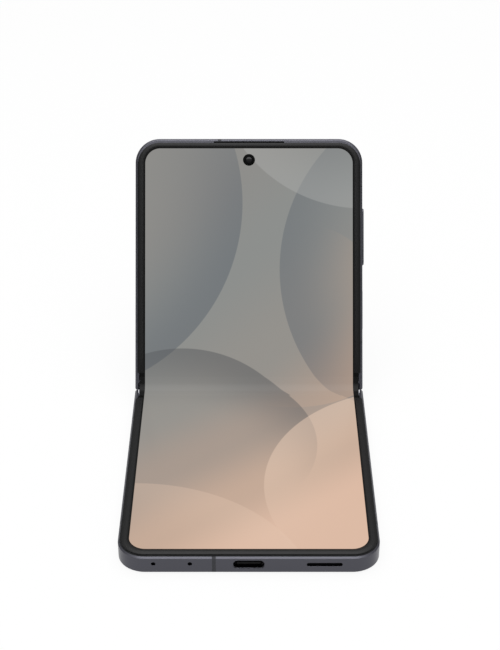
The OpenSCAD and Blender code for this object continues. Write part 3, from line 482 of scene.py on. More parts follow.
def battery_foil(name, colour):
    """Aluminium laminate film, vacuum-drawn round the cell and lacquered: satin, with slack wrinkles."""
    sockets = {"Base Color": colour, "Metallic": 0.35, "Coat Weight": 0.2, "Coat Roughness": 0.3}
    material, shader, coords = start_material(name, sockets)
    folds = grain(coords, 6, 4, (1, 2, 1))
    # painted sheen: the foil is coloured up to 1.4 times lighter where its folds rise
    paint(shader, folds, colour, shaded(colour, 1.4))
    vary(shader, "Roughness", folds, 0.35, 0.5)
    relief(shader, folds, 0.08, 0.6)
    return material


def printed_board(name, colour):
    """Circuit board of glass cloth and epoxy under green solder resist. Copper tracks show through the resist as
    lighter lines about 0.25 mm wide, and the pads are left bare."""
    material, shader, coords = start_material(name, {"Base Color": colour, "Roughness": 0.35, "IOR": 1.55})
    tree = coords.id_data
    pattern = {"Vector": coords, "Scale": per_mm(3) / 4, "Mortar Size": 0.06}
    tones = {"Color1": colour, "Color2": shaded(colour, 0.8), "Mortar": linear("#3f8a5e")}
    tracks = add(tree, "TexBrick", pattern | tones)
    pads = add(tree, "TexVoronoi", {"Vector": coords, "Scale": per_mm(2.2)}, "Distance")
    bare = add(tree, "Math", {0: pads, 1: 0.18}, operation="LESS_THAN")
    paint(shader, bare, tracks, linear("#d8b56a"))
    relief(shader, tracks.node.outputs["Fac"], 0.02)
    return material


def wound_copper(name, colour, centre):
    """Charging coil of enamelled copper wire, wound flat: turns 0.5 mm apart round the coil's centre, each with its
    own line of light."""
    sockets = {"Base Color": colour, "Metallic": 1.0, "Coat Weight": 0.5, "Coat Roughness": 0.1}
    material, shader, coords = start_material(name, sockets)
    tree = coords.id_data
    place = add(tree, "Mapping", {"Vector": coords, "Location": tuple(-c for c in centre)})
    bands = {"Vector": place, "Scale": band_scale(0.5)}
    turns = add(tree, "TexWave", bands, "Fac", wave_type="RINGS", rings_direction="Z")
    paint(shader, turns, linear("#5c2f14"), colour)
    vary(shader, "Roughness", turns, 0.5, 0.22)
    relief(shader, turns, 0.1)
    return material


def film_cable(name, colour):
    """Flexible cable of polyimide film, amber and see-through at its edges, over etched copper tracks 0.4 mm apart
    that run along it."""
    sockets = {"Base Color": colour, "Roughness": 0.3, "IOR": 1.7, "Coat Weight": 0.4, "Coat Roughness": 0.15}
    material, shader, coords = start_material(name, sockets)
    tree = coords.id_data
    tracks = add(tree, "TexWave", {"Vector": coords, "Scale": band_scale(0.4)}, "Fac", bands_direction="X")
    paint(shader, tracks, colour, linear("#c9822e"))
    relief(shader, tracks, 0.01)
    return material


def coated_lens(name, colour, painted_reflection_tint):
    """Lens of moulded optical glass with a thin interference coating. Its coloured reflection is a painted
    reflection: the base colour goes from nearly black where the lens faces the eye to a coloured tint where it turns
    away."""
    sockets = {"Base Color": colour, "IOR": 1.6, "Specular IOR Level": 0.25}
    material, shader, coords = start_material(name, sockets)
    tree = coords.id_data
    # painted reflection: the coating's colour is painted by how far the surface turns from the eye
    paint(shader, add(tree, "LayerWeight", {"Blend": 0.35}, "Facing"), colour, painted_reflection_tint)
    vary(shader, "Roughness", grain(coords, 0.5, 2), 0.02, 0.06)
    return material


def phosphor_lens(name, colour):
    """Flash: yellow phosphor under a clear moulded lens with ring-shaped ridges."""
    sockets = {"Base Color": colour, "Roughness": 0.15, "IOR": 1.5, "Coat Weight": 1.0, "Coat Roughness": 0.05}
    material, shader, coords = start_material(name, sockets)
    paint(shader, grain(coords, 0.4, 2), colour, linear("#fff7d8"))
    return material


def wallpaper_group(sizes, colours, lit_half_w, reaches):
    """The lit picture as a node group, from a place on the display laid flat: x across and y from the hinge line,
    in metres. A warm to cool gradient carries large see-through moons: each is strongest at one side of its rim
    and fades inwards and round it. The area outside the rounded lit corner stays black."""
    group = bpy.data.node_groups.new("display picture", "ShaderNodeTree")
    group.interface.new_socket("Place", in_out="INPUT", socket_type="NodeSocketVector")
    group.interface.new_socket("Color", in_out="OUTPUT", socket_type="NodeSocketColor")
    place = add(group, "NodeGroupInput")
    lit_half_l = (reaches["upper_half"] + reaches["lower_half"]) / 2
    axes = add(group, "SeparateXYZ", {0: place}).node.outputs
    slope = add(group, "Math", {0: axes["X"], 1: -0.8, 2: axes["Y"]}, operation="MULTIPLY_ADD")
    along = add(group, "MapRange", {"Value": slope, "From Min": -lit_half_l, "From Max": lit_half_l})
    colour = add(group, "ValToRGB", {"Fac": along}, "Color")
    ramp = colour.node.color_ramp
    ramp.interpolation = "EASE"
    ramp.elements[0].color = (*colours.picture_warm, 1)
    ramp.elements[1].color = (*colours.picture_cool, 1)
    for position, code in ((0.16, "#c2a794"), (0.34, "#a5968b"), (0.54, "#93908b"), (0.78, "#8b8d8b")):
        ramp.elements.new(position).color = linear(code)
    moons = (
        # centre x, centre y, radius and fade in millimetres, way to the strong rim in degrees, colour, strength
        (-66, 62, 64, 40, -38, "#4c5763", 0.47),
        (70, 40, 60, 38, -170, "#545d67", 0.44),
        (14, 22, 34, 34, -20, "#c9a88f", 0.4),
        (38, 110, 50, 34, -115, "#b4b5b3", 0.3),
        (-22, -30, 44, 30, 62, "#56585b", 0.58),
        (56, -52, 52, 36, 128, "#ecd0ba", 0.42),
        (-34, -104, 54, 34, 60, "#e6c9b3", 0.24),
    )
    for x, y, radius, fade, turn, code, strength in moons:
        way = (math.cos(math.radians(turn)) / (radius * MM), math.sin(math.radians(turn)) / (radius * MM), 0)
        away = add(group, "VectorMath", {0: place, 1: (x * MM, y * MM, 0)}, operation="SUBTRACT")
        reach = add(group, "VectorMath", {0: away}, "Value", operation="LENGTH")
        depth = add(group, "Math", {0: radius * MM, 1: reach}, operation="SUBTRACT")
        lean = add(group, "VectorMath", {0: away, 1: way}, "Value", operation="DOT_PRODUCT")
        parts = (
            # inside the rim, its fading inwards, and its fading round from the strong side
            (depth, 0.0, 0.3 * MM, 0.0, 1.0),
            (depth, 0.0, fade * MM, 1.0, 0.0),
            (lean, -0.1, 1.0, 0.0, strength),
        )
        cover = None
        for value, start, end, low, high in parts:
            limits = {"Value": value, "From Min": start, "From Max": end, "To Min": low, "To Max": high}
            part = add(group, "MapRange", limits, interpolation_type="SMOOTHSTEP")
            cover = part if cover is None else add(group, "Math", {0: cover, 1: part}, operation="MULTIPLY")
        colour = tint(cover, colour, linear(code))
    # distance past the lit area's rounded corners
    corner = sizes.lit_corner
    core = (lit_half_w - corner, lit_half_l - corner, 1)
    past = add(group, "VectorMath", {0: place, 1: (0, lit_half_l - reaches["upper_half"], 0)}, operation="ADD")
    past = add(group, "VectorMath", {0: past}, operation="ABSOLUTE")
    past = add(group, "VectorMath", {0: past, 1: core}, operation="SUBTRACT")
    past = add(group, "VectorMath", {0: past, 1: (0, 0, 0)}, operation="MAXIMUM")
    past = add(group, "VectorMath", {0: past}, "Value", operation="LENGTH")
    lit = add(group, "MapRange", {"Value": past, "From Min": corner, "From Max": corner - 0.05 * MM})
    add(group, "NodeGroupOutput", {"Color": tint(lit, (0, 0, 0, 1), colour)})
    return group


def display_film(name, group, flat, roughness=0.14):
    """Plastic OLED under thin folding glass and a clear film: it gives its own light, and its gloss is a little
    softer than plain glass, most of all where it bends. flat turns the piece's coordinates to a place on the
    display laid flat."""
    sockets = {"Base Color": linear("#060606"), "IOR": 1.5, "Specular IOR Level": 0.15, "Emission Strength": 1.0}
    material, shader, coords = start_material(name, sockets)
    tree = coords.id_data
    picture = add(tree, "Group", {"Place": flat(coords)}, "Color", node_tree=group)
    tree.links.new(picture, shader.inputs["Emission Color"])
    vary(shader, "Roughness", grain(coords, 12, 4, (1, 2.2, 1)), roughness - 0.04, roughness + 0.06)
    return material


def dress(material, *nodes):
    """Gives CAD nodes their material."""
    for node in nodes:
        slots = frame["nodes"][node].material_slots
        if not slots:
            raise RuntimeError(f"{node} has no material slot")
        for place in slots:
            place.material = material


def settle(piece, body, slot, *replaced):
    """Lets a new piece move with its body and hides the nodes it stands for. The finish's name, slot, is not used."""
    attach(piece, body)
    if replaced:
        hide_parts(*replaced)


def bend(piece, replaced, sign):
    """Hides the node that the piece stands for and bakes the piece's place into its mesh, the same for either sign."""
    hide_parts(replaced)
    if sign > 0:
        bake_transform(piece)
    else:
        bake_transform(piece)


# ---- settings ----


def length(name, description, default):
    """A length setting, given in millimetres."""
    return bpy.props.FloatProperty(
        name=name, description=description, default=default * MM, min=0, precision=5, unit="LENGTH", subtype="DISTANCE"
    )


def portion(name, description, default, low=0.0):
    """A setting that is a share of something."""
    return bpy.props.FloatProperty(
        name=name, description=description, default=default, min=low, max=1 - low, subtype="FACTOR"
    )


def dye(name, description, code):
    """A colour setting, given as sRGB hex."""
    return bpy.props.FloatVectorProperty(
        name=name, description=description, default=linear(code)[:3], min=0.0, max=1.0, size=3, subtype="COLOR"
    )


def spot(name, description, default):
    """A place in space."""
    return bpy.props.FloatVectorProperty(
        name=name, description=description, default=default, size=3, subtype="TRANSLATION", unit="LENGTH"
    )


class PhoneSizes(bpy.types.PropertyGroup):
    """Sizes of the fine pieces"""

    corner: length("Outer corner", "Radius of the phone's corners in plan", 8)
    lit_corner: length("Lit corner", "Corner radius of the lit area", 5)
    crease: length("Crease", "Radius of the display's crease as the phone stands", 3.5)
    film_t: length("Film thickness", "Thickness of the display where it bends", 0.25)
    cable_t: length("Cable thickness", "Thickness of the flat cables in the hinge", 0.07)
    seal_w: length("Seal width", "Width of the seal between the lower frame and its bezel", 0.18)
    # the lower seal's lap darkens the chamfer's top as painted shade of the groove
    seal_shade_lap: length("Seal lap", "How far the lower seal laps over the frame's chamfer", 0.17)
    seal_h: length("Seal height", "Height of the seal above the frame", 0.05)
    lit_inset: length("Lit inset", "How far the lit area ends inside the solid bezel's opening", 0.24)
    lit_reach: length("Lit reach", "How much farther the lit area reaches at the charging end", 0.25)
    border_w: length("Border width", "Width of the display's black border that shows", 0.36)
    bezel_taper: length("Bezel taper", "Length over which the bezel dips towards the hinge", 5)
    bezel_ridge: portion("Bezel ridge", "Place of the bezel's ridge as a share of its width", 0.3, 0.1)
    bezel_lip: portion("Bezel lip", "Height of the bezel's inner edge as a share of its ridge's", 0.4)
    bezel_fall: portion("Bezel fall", "Height of the bezel's outer edge as a share of its ridge's", 0.0)
    bezel_end: portion("Bezel end", "Height of the bezel at the hinge as a share of its full height", 0.12)
    skirt_share: portion("Skirt share", "Thickness of the bezel's skirt as a share of its width", 0.17)
    key_lip: length("Key lip", "How far a key's flange reaches past its outline", 0.4)
    key_flange: length("Key flange", "Thickness of a key's flange", 0.4)
    key_round: length("Key edge", "Radius of a key's outer edge", 0.28)
    contact_pitch: length("Contact pitch", "Distance between the socket's contacts", 0.5)
    contact_w: length("Contact width", "Width of one contact", 0.26)
    contact_l: length("Contact length", "Length of one contact", 3.6)
    contact_t: length("Contact thickness", "Thickness of one contact", 0.04)
    cover_border: length("Cover border", "Where the cover glass's black border starts, from its middle line", 34)


class PhoneColours(bpy.types.PropertyGroup):
    """Colours of the phone"""

    frame: dye("Frame", "Dyed aluminium of the frame, keys and SIM tray", "#58585f")
    spine: dye("Hinge cover", "Polished aluminium of the hinge cover", "#7a7b84")
    back: dye("Back glass", "Etched glass of the back", "#4d525d")
    bezel: dye("Bezel", "Raised rim round the display", "#0a0a0b")
    picture_warm: dye("Picture, near end", "Colour of the picture at the charging end", "#dab8a2")
    picture_cool: dye("Picture, far end", "Colour of the picture at the camera end", "#8c8b88")


class PhoneStage(bpy.types.PropertyGroup):
    """Camera and lamps"""

    tilt: bpy.props.FloatProperty(
        name="Tilt",
        description="How far the camera looks down",
        default=math.radians(32.21),
        subtype="ANGLE",
        unit="ROTATION",
    )
    lens: bpy.props.FloatProperty(
        name="Lens", description="Focal length of the camera in millimetres", default=80.152, subtype="DISTANCE_CAMERA"
    )
    eye: spot("Camera", "Where the camera stands", (0.00034, -0.35218, 0.27909))
    lamp: spot("Softbox", "Where the softbox hangs, facing down", (0.0, -0.06, 0.85))
    lamp_w: length("Softbox width", "Width of the softbox", 900)
    lamp_l: length("Softbox length", "Length of the softbox", 1300)
    lamp_power: bpy.props.FloatProperty(
        name="Softbox power", description="Power of the softbox in watts", default=7.3, min=0.0
    )
    ambient: bpy.props.FloatProperty(
        name="Ambient", description="Strength of the light from all round", default=0.42, min=0.0
    )


# ---- operators ----


class PHONE_OT_display(bpy.types.Operator):
    """Lights the display's two flat halves and lays the bending strip across the hinge"""

    bl_idname = "phone.display"
    bl_label = "Display"

    def execute(self, context):
        sizes, colours = context.scene.phone_sizes, context.scene.phone_colours
        group = wallpaper_group(sizes, colours, *lit_area(sizes))

        def flat_lower(coords):
            return add(coords.id_data, "Mapping", {"Vector": coords, "Location": (0, -HALF_L / 2, 0)})

        # a plane that has turned twice by the half fold: its distance from the hinge line is a dot product
        start = placed([(0, 0, 0)], "upper_half")[0]
        along = placed([(0, 1, 0)], "upper_half")[0] - start

        def flat_upper(coords):
            tree = coords.id_data
            run = add(tree, "VectorMath", {0: coords, 1: tuple(along)}, "Value", operation="DOT_PRODUCT")
            run = add(tree, "Math", {0: run, 1: float(start @ along)}, operation="SUBTRACT")
            return add(tree, "CombineXYZ", {"X": add(tree, "SeparateXYZ", {0: coords}, "X"), "Y": run})

        def flat_map(coords):
            return add(coords.id_data, "UVMap", uv_map="Developed")

        dress(display_film("lit display, lower", group, flat_lower), "display_lower")
        dress(display_film("lit display, upper", group, flat_upper), "display_upper")
        bending = display_film("lit display, bending", group, flat_map, 0.42)

        # the two display planes meet over the hinge, and the crease is a circle that touches both
        low, high = open_box("display_lower", "lower_half")
        fold_half, panel_t = -high[1], high[2] - low[2]
        strip_end = opened(placed([(0, -fold_half, 0)], "lower_half"), "spine")[0][1:]
        meet_z = strip_end[1] + math.tan(HALF_FOLD) * strip_end[0]
        centre_z = meet_z + sizes.crease / math.cos(HALF_FOLD)
        angle = np.linspace(0, HALF_FOLD, 14)
        crease = np.stack((-sizes.crease * np.sin(angle), centre_z - sizes.crease * np.cos(angle)), -1)
        share = np.linspace(0, 1, 6)[1:, None]
        top = np.concatenate((crease, crease[-1] + share * (strip_end - crease[-1])))
        lean = np.concatenate((angle, np.full(len(share), HALF_FOLD)))
        # the film is thin where it bends, which leaves room for the bed when the phone lies open
        thick = np.append(np.full(len(angle), sizes.film_t), sizes.film_t + share * (panel_t - sizes.film_t))
        under = top - thick[:, None] * np.stack((np.sin(lean), np.cos(lean)), -1)
        run = np.append(0, np.cumsum(np.linalg.norm(np.diff(top, axis=0), axis=1)))
        run *= fold_half / run[-1]
        loop = np.concatenate((top, under[::-1]))
        distance = np.concatenate((run, run[::-1]))
        strip_x = open_box("display_fold", "spine")[1][0]
        x = np.linspace(-strip_x, strip_x, 25)
        for sign, name in ((1, "display_strip_lower"), (-1, "display_strip_upper")):
            points = across_hinge(x, loop, sign)
            laid = np.stack((points[..., 0], np.tile(-sign * distance, (len(x), 1))), -1)
            strip = make_piece(name, [placed(points, "spine")], bending, capped=True, uvs=[laid], sharp=60)
            bend(strip, "display_fold", sign)
        return {"FINISHED"}


class PHONE_OT_cables(bpy.types.Operator):
    """Runs the flat cables through the hinge"""

    bl_idname = "phone.cables"
    bl_label = "Hinge cables"

    def execute(self, context):
        film = film_cable("polyimide film over copper", linear("#8a4f1c"))
        points = node_points("flex_cables", "spine")
        half = points[points[:, 1] < CLOSE][:, 1:].round(6)
        route = np.array([half[half[:, 0] == y].max(0) for y in np.unique(half[:, 0])])
        thick = float(np.ptp(half[half[:, 0] == route[0, 0]][:, 1]))
        x0, x1 = np.abs(points[:, 0]).min(), np.abs(points[:, 0]).max()
        # the route's corners are rounded by a moving average of evenly spaced points
        steps = np.append(0, np.cumsum(np.linalg.norm(np.diff(route, axis=0), axis=1)))
        even = np.linspace(0, steps[-1], 41)
        line = np.stack([np.interp(even, steps, route[:, k]) for k in (0, 1)], -1)
        padded = np.concatenate((np.tile(line[0], (3, 1)), line, np.tile(line[-1], (3, 1))))
        smooth = np.stack([np.convolve(padded[:, k], np.full(7, 1 / 7), "valid") for k in (0, 1)], -1)
        smooth[0], smooth[-1] = line[0], line[-1]
        # thinner than its solid, on the side of the spine, so that the bed clears it when the phone is shut
        top = smooth - (0, thick - context.scene.phone_sizes.cable_t)
        loop = np.concatenate((top, smooth[::-1] - (0, thick)))
        for sign, name in ((1, "hinge_cables_lower"), (-1, "hinge_cables_upper")):
            sides = [np.linspace(side * x0, side * x1, 5) for side in (-1, 1)]
            grids = [placed(across_hinge(x, loop, sign), "spine") for x in sides]
            cable = make_piece(name, grids, film, capped=True, sharp=60)
            bend(cable, "flex_cables", sign)
        return {"FINISHED"}


class PHONE_OT_frames(bpy.types.Operator):
    """Finishes both frames, their antenna bands and the SIM tray"""

    bl_idname = "phone.frames"
    bl_label = "Frames"

    def execute(self, context):
        tone = (*context.scene.phone_colours.frame, 1)
        dress(anodised_aluminium("anodised aluminium tray", tone), "sim_tray")
        for half, end in (("lower_half", -1), ("upper_half", 1)):
            # up and towards the end, on the standing body: they pick out the chamfer that gets a painted highlight
            ways = placed([(0, 0, 1), (0, end, 0), (0, 0, 0)], half)
            highlight_ways = [tuple(way - ways[2]) for way in ways[:2]]
            metal = anodised_aluminium(f"anodised aluminium frame, {half[:5]}", tone, highlight_ways=highlight_ways)
            dress(metal, half.replace("half", "frame"))
        bands = moulded_plastic("moulded antenna bands", linear("#2e2f35"), 0.45, 0.3, 0.004, 0.3)
        dress(bands, "lower_antenna_bands", "upper_antenna_bands")
        return {"FINISHED"}


class PHONE_OT_bezels(bpy.types.Operator):
    """Makes the crowned bezels and lays a black seal between each of them and its frame, which is also painted shade
    for the groove there
    """

    bl_idname = "phone.bezels"
    bl_label = "Bezels and seals"

    def crowned(self, sizes, inner, outer, foot, top):
        """A bezel between its inner and its outer line. Across, its height is a parabola-like crown that falls
        from its ridge to both edges, and it dips towards the hinge over the taper's length. A skirt goes down
        on the outside to the frame's rim."""
        share = np.linspace(0, 1, 17)
        ridge = sizes.bezel_ridge
        side = np.where(share < ridge, (ridge - share) / ridge, (share - ridge) / (1 - ridge))
        edge = np.where(share < ridge, sizes.bezel_lip, sizes.bezel_fall)
        crown = top * (1 - (1 - edge) * side**2.4)
        run = np.clip((-inner[:, 1] + inner[0, 1]) / sizes.bezel_taper, 0, 1)
        dip = sizes.bezel_end + (1 - sizes.bezel_end) * np.sin(run * math.pi / 2)
        across = inner[:, None] + (outer - inner)[:, None] * share[None, :, None]
        rim = np.concatenate((across, (dip[:, None] * crown)[..., None]), -1)
        # the skirt is as thick as the gap between the panel and the bezel's outer side
        shelf = outer + (inner - outer) * sizes.skirt_share
        level = np.ones((len(outer), 1))
        lines = ((outer, foot), (shelf, foot), (shelf, 0), (inner, 0))
        rest = [np.concatenate((line, height * level), 1)[:, None] for line, height in lines]
        return np.concatenate((rim, *rest), 1)

    def execute(self, context):
        sizes, colours = context.scene.phone_sizes, context.scene.phone_colours
        plastic = moulded_plastic("moulded bezel", (*colours.bezel, 1), 0.42, 0.35, 0.004, 0.2)
        rubber = soft_rubber("silicone seal", linear("#050506"))
        lit_half_w, reaches = lit_area(sizes)
        border, h = sizes.border_w, sizes.seal_h
        for half in ("lower_half", "upper_half"):
            node = half.replace("half", "bezel")
            low, high = open_box(node, half)
            frame_high = open_box(half.replace("half", "frame"), half)[1]
            start, end = sorted(np.abs((low[1], high[1])))
            corner = sizes.corner - (frame_high[0] - high[0])
            # the seal lies on the frame's rim, in the corner that it makes with the bezel, and the lower one bends
            # down over the chamfer's edge: it is a real seal, and its black band, widest where the lower one laps over
            # the chamfer, is also painted shade of the groove between frame and bezel
            w, lap = (sizes.seal_w, sizes.seal_shade_lap) if half == "lower_half" else (sizes.seal_w * 2 / 3, 0)
            seal = [(-0.1 * w, -h), (w, -h), (w + lap, -h - lap), (w + lap, 0.4 * h - lap)]
            seal += [(0.8 * w + lap, h - lap), (0.8 * w, h), (0.2 * w, h), (-0.1 * w, 0.8 * h)]
            profile = [(out, frame_high[2] + up) for out, up in seal]
            strip = rim_strip(profile, high[0], start, end, corner, half)
            settle(make_piece(f"{node}_seal", [strip], rubber, capped=True), half, "black_plastic")
            inner = rim_path(lit_half_w + border, start, reaches[half] + border, sizes.lit_corner + border)[0]
            outer = rim_path(high[0], start, end, corner)[0]
            rim = stand(self.crowned(sizes, inner, outer, frame_high[2], high[2]), half)
            piece = make_piece(f"{node}_rim", [rim], plastic, capped=True, sharp=30)
            settle(piece, half, "bezel_plastic", node)
        return {"FINISHED"}


class PHONE_OT_keys(bpy.types.Operator):
    """Makes the volume rocker and the side key with rounded edges"""

    bl_idname = "phone.keys"
    bl_label = "Keys"

    def execute(self, context):
        sizes = context.scene.phone_sizes
        tone = (*context.scene.phone_colours.frame, 1)
        metal = anodised_aluminium("anodised aluminium keys", tone, 0.26)
        lip, flange, edge = sizes.key_lip, sizes.key_flange, sizes.key_round
        # how far the middle of a key's face is hollowed, in millimetres: below nothing it is crowned
        for node, dish in (("volume_rocker", -0.06), ("side_key", 0.04)):
            low, high = open_box(node, "upper_half")
            out = high[0] - low[0]
            span, tall = high[1] - low[1] - 2 * lip, high[2] - low[2] - 2 * lip
            sunk = min(0, dish) * MM
            shoulder = arc((edge, out - edge + sunk), edge, 180, 90, 8)
            # a shallow parabola from the face's edge to its middle line
            inward = np.linspace(edge, tall / 2, 9)[1:]
            share = (inward - edge) / (tall / 2 - edge)
            face = np.stack((inward, out - dish * MM * share * (2 - share) + sunk), -1)
            foot = ((tall / 2, 0), (-lip, 0), (-lip, flange), (0, flange))
            profile = np.concatenate((foot, shoulder, face))
            centre = (low[0], (low[1] + high[1]) / 2, (low[2] + high[2]) / 2)
            key = make_piece(f"{node}_cap", [pill(span, tall, profile, centre, "upper_half")], metal)
            settle(key, node, "frame_aluminium", node)
        return {"FINISHED"}


class PHONE_OT_glass(bpy.types.Operator):
    """Finishes the back glass, the cover glass and the cover display behind it"""

    bl_idname = "phone.glass"
    bl_label = "Glass"

    def execute(self, context):
        back = etched_glass("etched back glass", (*context.scene.phone_colours.back, 1))
        dress(back, "lower_back_glass")
        border_x = context.scene.phone_sizes.cover_border
        cover = polished_glass("polished cover glass", linear("#101114"), linear("#060607"), border_x)
        dress(cover, "cover_glass", "cover_display")
        return {"FINISHED"}


class PHONE_OT_cameras(bpy.types.Operator):
    """Makes the rear cameras' lenses, the flash and the selfie camera's lens"""

    bl_idname = "phone.cameras"
    bl_label = "Cameras"

    def execute(self, context):
        tone = (*context.scene.phone_colours.frame, 1)
        dress(anodised_aluminium("anodised camera rings", tone, 0.22, 0.2), "camera_rings")
        barrel = moulded_plastic("black lens barrel", linear("#030303"), 0.45, 0.2, 0.002, 0.04)
        glass = coated_lens("coated lens", linear("#040406"), linear("#2a1d3c"))
        dress(barrel, "camera_modules", "selfie_camera")
        self.rear(barrel, glass)
        self.flash()
        self.selfie(barrel, glass)
        return {"FINISHED"}

    def rear(self, barrel, glass):
        """Both stepped barrels, and a dome that stands on each barrel's floor."""
        low, high = open_box("camera_lenses", "upper_half")
        radius, thick = (high[1] - low[1]) / 2, high[2] - low[2]
        centres = [(x, (low[1] + high[1]) / 2, high[2]) for x in (low[0] + radius, high[0] - radius)]
        # shares of the radius and the height: up the outside, over the rim and down the steps to the floor
        shares = ((0, 0), (1, 0), (1, 0.85), (0.98, 1), (0.62, 1), (0.6, 0.93), (0.55, 0.6), (0.54, 0.5))
        shares += ((0.46, 0.42), (0.45, 0.32), (0.36, 0.3), (0, 0.3))
        walls = [turned_form(np.array(shares) * (radius, thick), c, "upper_half") for c in centres]
        piece = make_piece("camera_barrels", walls, barrel, sharp=25)
        settle(piece, "upper_half", "lens_glass", "camera_lenses")
        cap = dome(0.35 * radius, 0.3 * thick, 0.45 * thick)
        domes = [turned_form(cap, c, "upper_half") for c in centres]
        settle(make_piece("camera_domes", domes, glass), "upper_half", "lens_glass")

    def flash(self):
        """The flash shows through a clear spot of the cover glass: ring ridges on a disc nearly flush with it."""
        low, high = open_box("camera_flash", "upper_half")
        face = open_box("cover_glass", "upper_half")[0][2]
        radius = 0.94 * (high[1] - low[1]) / 2
        sunk, ridge, rings = 0.03 * MM, 0.012 * MM, 3.5
        phosphor = phosphor_lens("phosphor flash", linear("#e9dfae"))
        dress(phosphor, "camera_flash")
        r = np.linspace(radius, 0, 25)
        ridges = ridge * (1 + np.abs(np.sin(r / radius * rings * math.pi)))
        disc = np.concatenate((((0, -sunk), (radius, -sunk)), np.stack((r, ridges), -1)))
        centre = ((low[0] + high[0]) / 2, (low[1] + high[1]) / 2, face)
        lens = make_piece("flash_lens", [turned_form(disc, centre, "upper_half")], phosphor, sharp=50)
        settle(lens, "upper_half", "flash_plastic")

    def selfie(self, barrel, glass):
        """The selfie camera: a stepped black ring with a small dome in it, just under the display's surface."""
        points = node_points("selfie_camera", "upper_half")
        top = points[:, 2].max()
        rim = points[points[:, 2] > top - CLOSE]
        radius = float(np.ptp(rim[:, 0]) / 2)
        centre = (0, float((rim[:, 1].min() + rim[:, 1].max()) / 2), top)
        deep = open_box("display_upper", "upper_half")[1][2] - top
        sunk = 0.02 * MM
        # shares of the radius and the depth: up the outside, over the rim and down to the floor
        shares = ((1, 0.7), (0.96, 0.85), (0.62, 0.8), (0.58, 0.15), (0.5, 0.1), (0, 0.1))
        ring = np.concatenate((((0, -sunk), (radius, -sunk)), np.array(shares) * (radius, deep)))
        piece = make_piece("selfie_ring", [turned_form(ring, centre, "upper_half", 1)], barrel, sharp=25)
        settle(piece, "upper_half", "lens_glass")
        cap = dome(0.5 * radius, 0.1 * deep, 0.6 * deep)
        piece = make_piece("selfie_dome", [turned_form(cap, centre, "upper_half", 1)], glass)
        settle(piece, "upper_half", "lens_glass")


class PHONE_OT_ports(bpy.types.Operator):
    """Finishes the charging socket, the sound openings and the microphones"""

    bl_idname = "phone.ports"
    bl_label = "Ports"

    def execute(self, context):
        sizes = context.scene.phone_sizes
        dress(rolled_steel("drawn steel socket shell", linear("#c4c5c8")), "usb_shell")
        dress(moulded_plastic("moulded socket tongue", linear("#070708"), 0.5, 0.2, 0.003, 0.12), "usb_tongue")
        dress(woven_mesh("woven acoustic mesh", linear("#1a1b1d")), "speaker_mesh", "earpiece_mesh")
        # a row of contacts on either face of the tongue, sunk half their thickness into it
        low, high = open_box("usb_tongue", "lower_half")
        count = 12
        x = (np.arange(count) - (count - 1) / 2) * sizes.contact_pitch - sizes.contact_w / 2
        start = np.full(2 * count, low[1] + sizes.contact_pitch)
        z = np.repeat((high[2], low[2]), count) - sizes.contact_t / 2
        corner = np.column_stack((np.tile(x, 2), start, z))
        grids = boxes(corner, corner + (sizes.contact_w, sizes.contact_l, sizes.contact_t))
        gold = gold_plate("gold plated contacts", linear("#d9b45f"))
        settle(make_piece("usb_contacts", placed(grids, "lower_half"), gold), "lower_half", "copper")
        return {"FINISHED"}


class PHONE_OT_hinge(bpy.types.Operator):
    """Finishes the hinge cover, its brackets, rotators, gears, shafts and bed"""

    bl_idname = "phone.hinge"
    bl_label = "Hinge"

    def execute(self, context):
        tone = (*context.scene.phone_colours.spine, 1)
        dress(polished_aluminium("polished hinge cover", tone), "spine_cover", "spine_end_caps")
        steels = (
            # name, colour, roughness, nodes
            ("milled steel brackets", "#8d8f94", 0.38, ("hinge_brackets", "bed_posts")),
            ("sintered steel rotators", "#a3a4a8", 0.32, ("lower_rotators", "upper_rotators")),
            ("ground steel shafts", "#c4c5c8", 0.2, ("pinion_shafts",)),
            ("rolled steel plates", "#9b9da1", 0.34, ("fold_bed",)),
        )
        for name, code, roughness, nodes in steels:
            dress(rolled_steel(name, linear(code), roughness), *nodes)
        brass = cut_brass("hobbed brass gears", linear("#c9a860"))
        dress(brass, "lower_pinion", "lower_idler", "upper_idler", "upper_pinion")
        return {"FINISHED"}


class PHONE_OT_inside(bpy.types.Operator):
    """Finishes what the frames hold: plates, boards, batteries, coil, magnets, cans and screws"""

    bl_idname = "phone.inside"
    bl_label = "Inner parts"

    def execute(self, context):
        steels = (
            # name, colour, roughness, nodes
            ("rolled steel backing plate", "#86888c", 0.36, ("lower_display_plate", "upper_display_plate")),
            ("nickel plated magnets", "#a9a8a4", 0.25, ("lower_magnets", "upper_magnets")),
            ("tinned shield cans", "#b9babd", 0.3, ("shield_cans", "sim_reader", "key_switches")),
            ("drawn steel cans", "#9fa1a5", 0.28, ("vibration_motor", "lower_microphones")),
            ("zinc plated screws", "#a8aaae", 0.3, ("lower_screws", "upper_screws")),
        )
        for name, code, roughness, nodes in steels:
            dress(rolled_steel(name, linear(code), roughness), *nodes)
        dress(battery_foil("laminate battery foil", linear("#33363c")), "lower_battery", "upper_battery")
        dress(printed_board("green circuit board", linear("#14522f")), "lower_board", "main_board")
        low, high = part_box("charging_coil")
        centre = ((low.x + high.x) / 2, (low.y + high.y) / 2, 0)
        dress(wound_copper("enamelled copper winding", linear("#c98655"), centre), "charging_coil")
        housing = moulded_plastic("black loudspeaker housing", linear("#1b1b1c"), 0.55, 0.4, 0.01)
        dress(housing, "loudspeaker", "earpiece")
        return {"FINISHED"}


